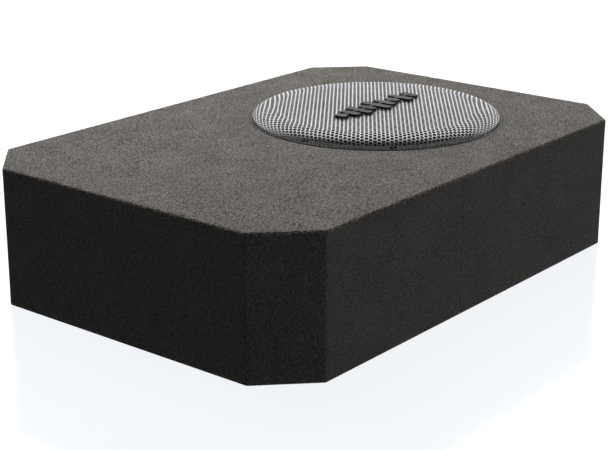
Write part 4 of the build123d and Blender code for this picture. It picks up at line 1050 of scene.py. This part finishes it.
class SUBWOOFER_OT_fastenings(bpy.types.Operator):
    """Give the driver's and the amplifier panel's screws cross-recessed heads"""
    bl_idname = "subwoofer.fastenings"
    bl_label = "Screws"

    def execute(self, context):
        tree = planted_tree()
        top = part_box("woofer_screws")[1].z * 1000
        places = [(p.x, p.y, top - 2.6) for p in lump_centres("woofer_screws")]
        mesh = plant("woofer_screw_heads", cross_head(4.2, 2.55), places, (0.0, 0.0, 0.0),
            finish_of("black_screw"), tree)
        piece = new_piece("woofer_screw_heads", mesh, None)
        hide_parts("woofer_screws")
        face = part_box("amp_screws")[1].y * 1000
        places = [(p.x, face - 1.9, p.z) for p in lump_centres("amp_screws")]
        mesh = plant("amp_screw_heads", cross_head(3.5, 1.85), places, (-pi / 2, 0.0, 0.0),
            finish_of("black_screw"), tree)
        piece = new_piece("amp_screw_heads", mesh, None)
        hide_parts("amp_screws")
        return {"FINISHED"}


class SUBWOOFER_OT_panel_marks(bpy.types.Operator):
    """Print plain scale marks round the amplifier's controls and a pointer on each knob"""
    bl_idname = "subwoofer.panel_marks"
    bl_label = "Panel Marks"

    def execute(self, context):
        paint = finish_of("panel_print")
        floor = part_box("terminal_strip")[0].y * 1000
        points, faces = [], []

        def mark(x, z, angle, near, far, wide):
            """One painted bar standing off the point (x, z)."""
            start = len(points)
            for r, w in ((near, -wide), (near, wide), (far, wide), (far, -wide)):
                points.append((x - (r * sin(angle) + w * cos(angle)), floor,
                    z + r * cos(angle) - w * sin(angle)))
            points.extend([(px, floor + 0.12, pz) for px, _, pz in points[start:start + 4]])
            faces.extend([tuple(start + i for i in face) for face in BAR_FACES])

        for knob in ("level_knob", "crossover_knob", "boost_knob"):
            low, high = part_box(knob)
            x, z = (low.x + high.x) * 500, (low.z + high.z) * 500
            for step in range(11):
                mark(x, z, radians(-150 + 30 * step), 9.4, 11.6 if step in (0, 5, 10) else 10.7, 0.25)
            body = knob.replace("knob", "control")
            face = high.y * 1000
            half, near, far = 0.5, 1.5, 6.9
            corners = ((-half, near), (half, near), (half, far), (-half, far))
            tip = [(x + u, face - 0.3, z + v) for u, v in corners]
            tip += [(px, face + 0.08, pz) for px, _, pz in tip]
            mesh = mesh_from(knob + "_pointer", tip, BAR_FACES)
            new_piece(mesh.name, face_outwards(mesh), paint, body, smooth=False)
        low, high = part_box("phase_slider")
        for x in (low.x * 1000 + 1.0, high.x * 1000 + 3.4):
            mark(x, high.z * 1000 + 1.2, 0.0, 0.0, 1.8, 0.25)
        above_fuses = 71.2
        for low, high in [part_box("fuse_1"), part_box("fuse_2")]:
            mark((low.x + high.x) * 500, above_fuses, 0.0, 0.0, 1.4, 0.6)
        marks = face_outwards(mesh_from("panel_scale_marks", points, faces))
        new_piece(marks.name, marks, paint, smooth=False)
        return {"FINISHED"}


class SUBWOOFER_OT_foam(bpy.types.Operator):
    """Lay the waffle-topped damping foam inside the box"""
    bl_idname = "subwoofer.foam"
    bl_label = "Damping Foam"

    def execute(self, context):
        low, high = box_mm("damping_foam")
        across, along = 61, 81
        top, under = [], []
        for j in range(along):
            for i in range(across):
                u, v = i / (across - 1), j / (along - 1)
                pull = 1.5 * (1 - (2 * u - 1) ** 8) * (1 - (2 * v - 1) ** 8)
                x = low[0] + (high[0] - low[0]) * u
                y = low[1] + (high[1] - low[1]) * v
                wave = 2.4 * (0.5 - 0.5 * sin(2 * pi * x / 24) * sin(2 * pi * y / 24))
                top.append((x, y, high[2] - 1.5 + pull - wave))
                under.append((x, y, low[2]))
        faces = []
        size = across * along
        for j in range(along - 1):
            for i in range(across - 1):
                a = j * across + i
                faces.append((a, a + 1, a + across + 1, a + across))
                faces.append((size + a + across, size + a + across + 1, size + a + 1, size + a))
        rim = [i for i in range(across)] + [j * across + across - 1 for j in range(1, along)]
        rim += [size - 1 - i for i in range(1, across)] + [j * across for j in range(along - 2, 0, -1)]
        for a, b in zip(rim, rim[1:] + rim[:1]):
            faces.append((b, a, size + a, size + b))
        piece = new_piece("damping_foam_pad",
            face_outwards(mesh_from("damping_foam_pad", top + under, faces)), finish_of("acoustic_foam"))
        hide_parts("damping_foam")
        return {"FINISHED"}


class SUBWOOFER_OT_winding(bpy.types.Operator):
    """Wind the filter choke with separate turns of enamelled wire"""
    bl_idname = "subwoofer.winding"
    bl_label = "Choke Winding"

    def execute(self, context):
        low, high = [Vector(c) * 1000 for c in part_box("choke_winding")]
        core_low, core_high = [Vector(c) * 1000 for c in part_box("choke_core")]
        centre = (low + high) / 2
        outer = (core_high.x - core_low.x) / 2
        shell_outer = (high.x - low.x) / 2
        wire = 0.7
        bore_radius = 9.0
        middle = (outer + bore_radius) / 2
        wide, deep = (shell_outer - wire) - middle, (high.y - low.y) / 2 - wire
        turns, per_turn, sides = 34, 16, 6
        path = []
        for k in range(turns * per_turn):
            a = 2 * pi * k / (turns * per_turn) * 0.92
            b = 2 * pi * k / per_turn
            u, v = np.sign(cos(b)) * abs(cos(b)) ** 0.6, np.sign(sin(b)) * abs(sin(b)) ** 0.6
            r = middle + wide * u
            path.append(Vector((centre.x + r * cos(a), centre.y + deep * v, centre.z + r * sin(a))))
        points, faces = [], []
        for k, here in enumerate(path):
            way = (path[min(k + 1, len(path) - 1)] - path[max(k - 1, 0)]).normalized()
            away = (here - Vector((centre.x, here.y, centre.z))).normalized()
            side = (away - way * away.dot(way)).normalized()
            up = way.cross(side)
            for s in range(sides):
                round_wire = side * cos(2 * pi * s / sides) + up * sin(2 * pi * s / sides)
                points.append(tuple(here + round_wire * wire))
        for k in range(len(path) - 1):
            for s in range(sides):
                n = (s + 1) % sides
                faces.append((k * sides + s, k * sides + n, (k + 1) * sides + n, (k + 1) * sides + s))
        faces += [tuple(range(sides)), tuple(range((len(path) - 1) * sides, len(path) * sides))]
        piece = new_piece("choke_turns", face_outwards(mesh_from("choke_turns", points, faces)),
            finish_of("copper_wire"))
        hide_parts("choke_winding")
        return {"FINISHED"}


class SUBWOOFER_OT_finishes(bpy.types.Operator):
    """Paint every remaining part with its own finish"""
    bl_idname = "subwoofer.finishes"
    bl_label = "Finishes"

    def execute(self, context):
        for name, node in NODES.items():
            slot = node.data.materials[0].name.split(".")[0] if node.data.materials else None
            if slot not in FINISHES:
                raise RuntimeError(f"{name} has no finish for {slot}")
            node.material_slots[0].material = FINISHES[slot]
        return {"FINISHED"}


class SUBWOOFER_OT_studio(bpy.types.Operator):
    """Set the pale floor, the soft lights and the camera"""
    bl_idname = "subwoofer.studio"
    bl_label = "Studio"

    def execute(self, context):
        scene = context.scene
        scene.view_settings.view_transform = "Standard"
        floor_mesh = mesh_from("studio_floor",
            [(-9000, -9000, -0.4), (9000, -9000, -0.4), (9000, 9000, -0.4), (-9000, 9000, -0.4)],
                [(0, 1, 2, 3)])
        material, tree, shader, where = blank("glossy_white_acrylic_sheet", 0.12, IOR=1.5)
        # A lit white sheet: even and bright, with a faint mirror of what stands on it.
        haze = add(tree, "ShaderNodeTexNoise", {"Vector": where, "Scale": per(900), "Detail": 1.0})
        two_tone(tree, shader, haze.outputs["Fac"], "5e6062", "626466")
        shader.inputs["Emission Color"].default_value = linear("f8fbff")
        shader.inputs["Emission Strength"].default_value = 0.92
        floor = bpy.data.objects.new("studio_floor", floor_mesh)
        floor_mesh.materials.append(material)
        scene.collection.objects.link(floor)
        floor.visible_diffuse = False

        world = bpy.data.worlds.new("studio_white")
        scene.world = world
        world.use_nodes = True
        world.node_tree.nodes.clear()
        room = world.node_tree
        backdrop = add(room, "ShaderNodeBackground", {"Color": (1.0, 1.0, 1.0, 1.0), "Strength": 1.0})
        # Gloss sees a bright backdrop on one side of the room and a dim room on the other.
        around = add(room, "ShaderNodeTexCoord").outputs["Generated"]
        toward = add(room, "ShaderNodeVectorMath", {0: around, 1: (0.78, 0.63, 0.0)}, operation="DOT_PRODUCT")
        share = add(room, "ShaderNodeMapRange",
            {"Value": toward.outputs["Value"], "From Min": 0.05, "From Max": 0.65, "To Min": 0.1,
                "To Max": 1.3})
        mirrored = add(room, "ShaderNodeBackground",
            {"Color": (1.0, 1.0, 1.0, 1.0), "Strength": share.outputs[0]})
        seen = add(room, "ShaderNodeLightPath")
        chosen = add(room, "ShaderNodeMixShader",
            [seen.outputs["Is Camera Ray"], mirrored.outputs[0], backdrop.outputs[0]])
        add(room, "ShaderNodeOutputWorld", [chosen.outputs[0]])
        world.cycles_visibility.diffuse = False

        lamps = (
            ("top_softbox", (0.45, 0.95, 1.6), 2.4, 34.0),
            ("front_fill", (0.9, -2.2, 0.7), 1.4, 8.0),
            ("left_fill", (-2.4, -0.5, 0.6), 1.4, 2.4),
            ("rear_fill", (0.2, 2.4, 0.8), 1.4, 5.0),
        )
        for name, place, size, power in lamps:
            data = bpy.data.lights.new(name, "AREA")
            data.shape, data.size, data.energy = "DISK", size, power
            lamp = bpy.data.objects.new(name, data)
            lamp.location = place
            lamp.rotation_euler = (Vector((0, 0, 0.08)) - Vector(place)).to_track_quat("-Z", "Y").to_euler()
            scene.collection.objects.link(lamp)
            lamp.visible_glossy = False

        camera = bpy.data.objects.new("studio_camera", bpy.data.cameras.new("studio_camera"))
        camera.location = (-1.2514, -0.9999, 0.5728)
        aim = Vector((-0.0829, -0.0504, 0.0737))
        camera.rotation_mode = "QUATERNION"
        camera.rotation_quaternion = (aim - camera.location).to_track_quat("-Z", "Y")
        camera.data.sensor_width = 36.0
        camera.data.lens = 91.34
        camera.data.clip_start, camera.data.clip_end = 0.05, 60.0
        scene.collection.objects.link(camera)
        scene.camera = camera
        return {"FINISHED"}


STEPS = (
    SUBWOOFER_OT_studio,
    SUBWOOFER_OT_carpet,
    SUBWOOFER_OT_fibres,
    SUBWOOFER_OT_grille,
    SUBWOOFER_OT_suspension,
    SUBWOOFER_OT_fastenings,
    SUBWOOFER_OT_panel_marks,
    SUBWOOFER_OT_foam,
    SUBWOOFER_OT_winding,
    SUBWOOFER_OT_finishes,
)


class SUBWOOFER_PT_panel(bpy.types.Panel):
    """Lists the steps that dress the subwoofer"""
    bl_idname = "SUBWOOFER_PT_panel"
    bl_label = "Subwoofer"
    bl_space_type = "VIEW_3D"
    bl_region_type = "UI"
    bl_category = "Subwoofer"

    def draw(self, context):
        look = context.scene.subwoofer_look
        for key in SubwooferLook.__annotations__:
            self.layout.prop(look, key)
        for step in STEPS:
            self.layout.operator(step.bl_idname)


def register():
    for kind in (SubwooferLook, *STEPS, SUBWOOFER_PT_panel):
        bpy.utils.register_class(kind)
    bpy.types.Scene.subwoofer_look = bpy.props.PointerProperty(type=SubwooferLook)


def unregister():
    del bpy.types.Scene.subwoofer_look
    for kind in reversed((SubwooferLook, *STEPS, SUBWOOFER_PT_panel)):
        bpy.utils.unregister_class(kind)


def main():
    register()
    for step in STEPS:
        module, name = step.bl_idname.split(".")
        result = getattr(getattr(bpy.ops, module), name)()
        if result != {"FINISHED"}:
            raise RuntimeError(f"{step.bl_label} did not finish")


if __name__ == "__main__":
    main()
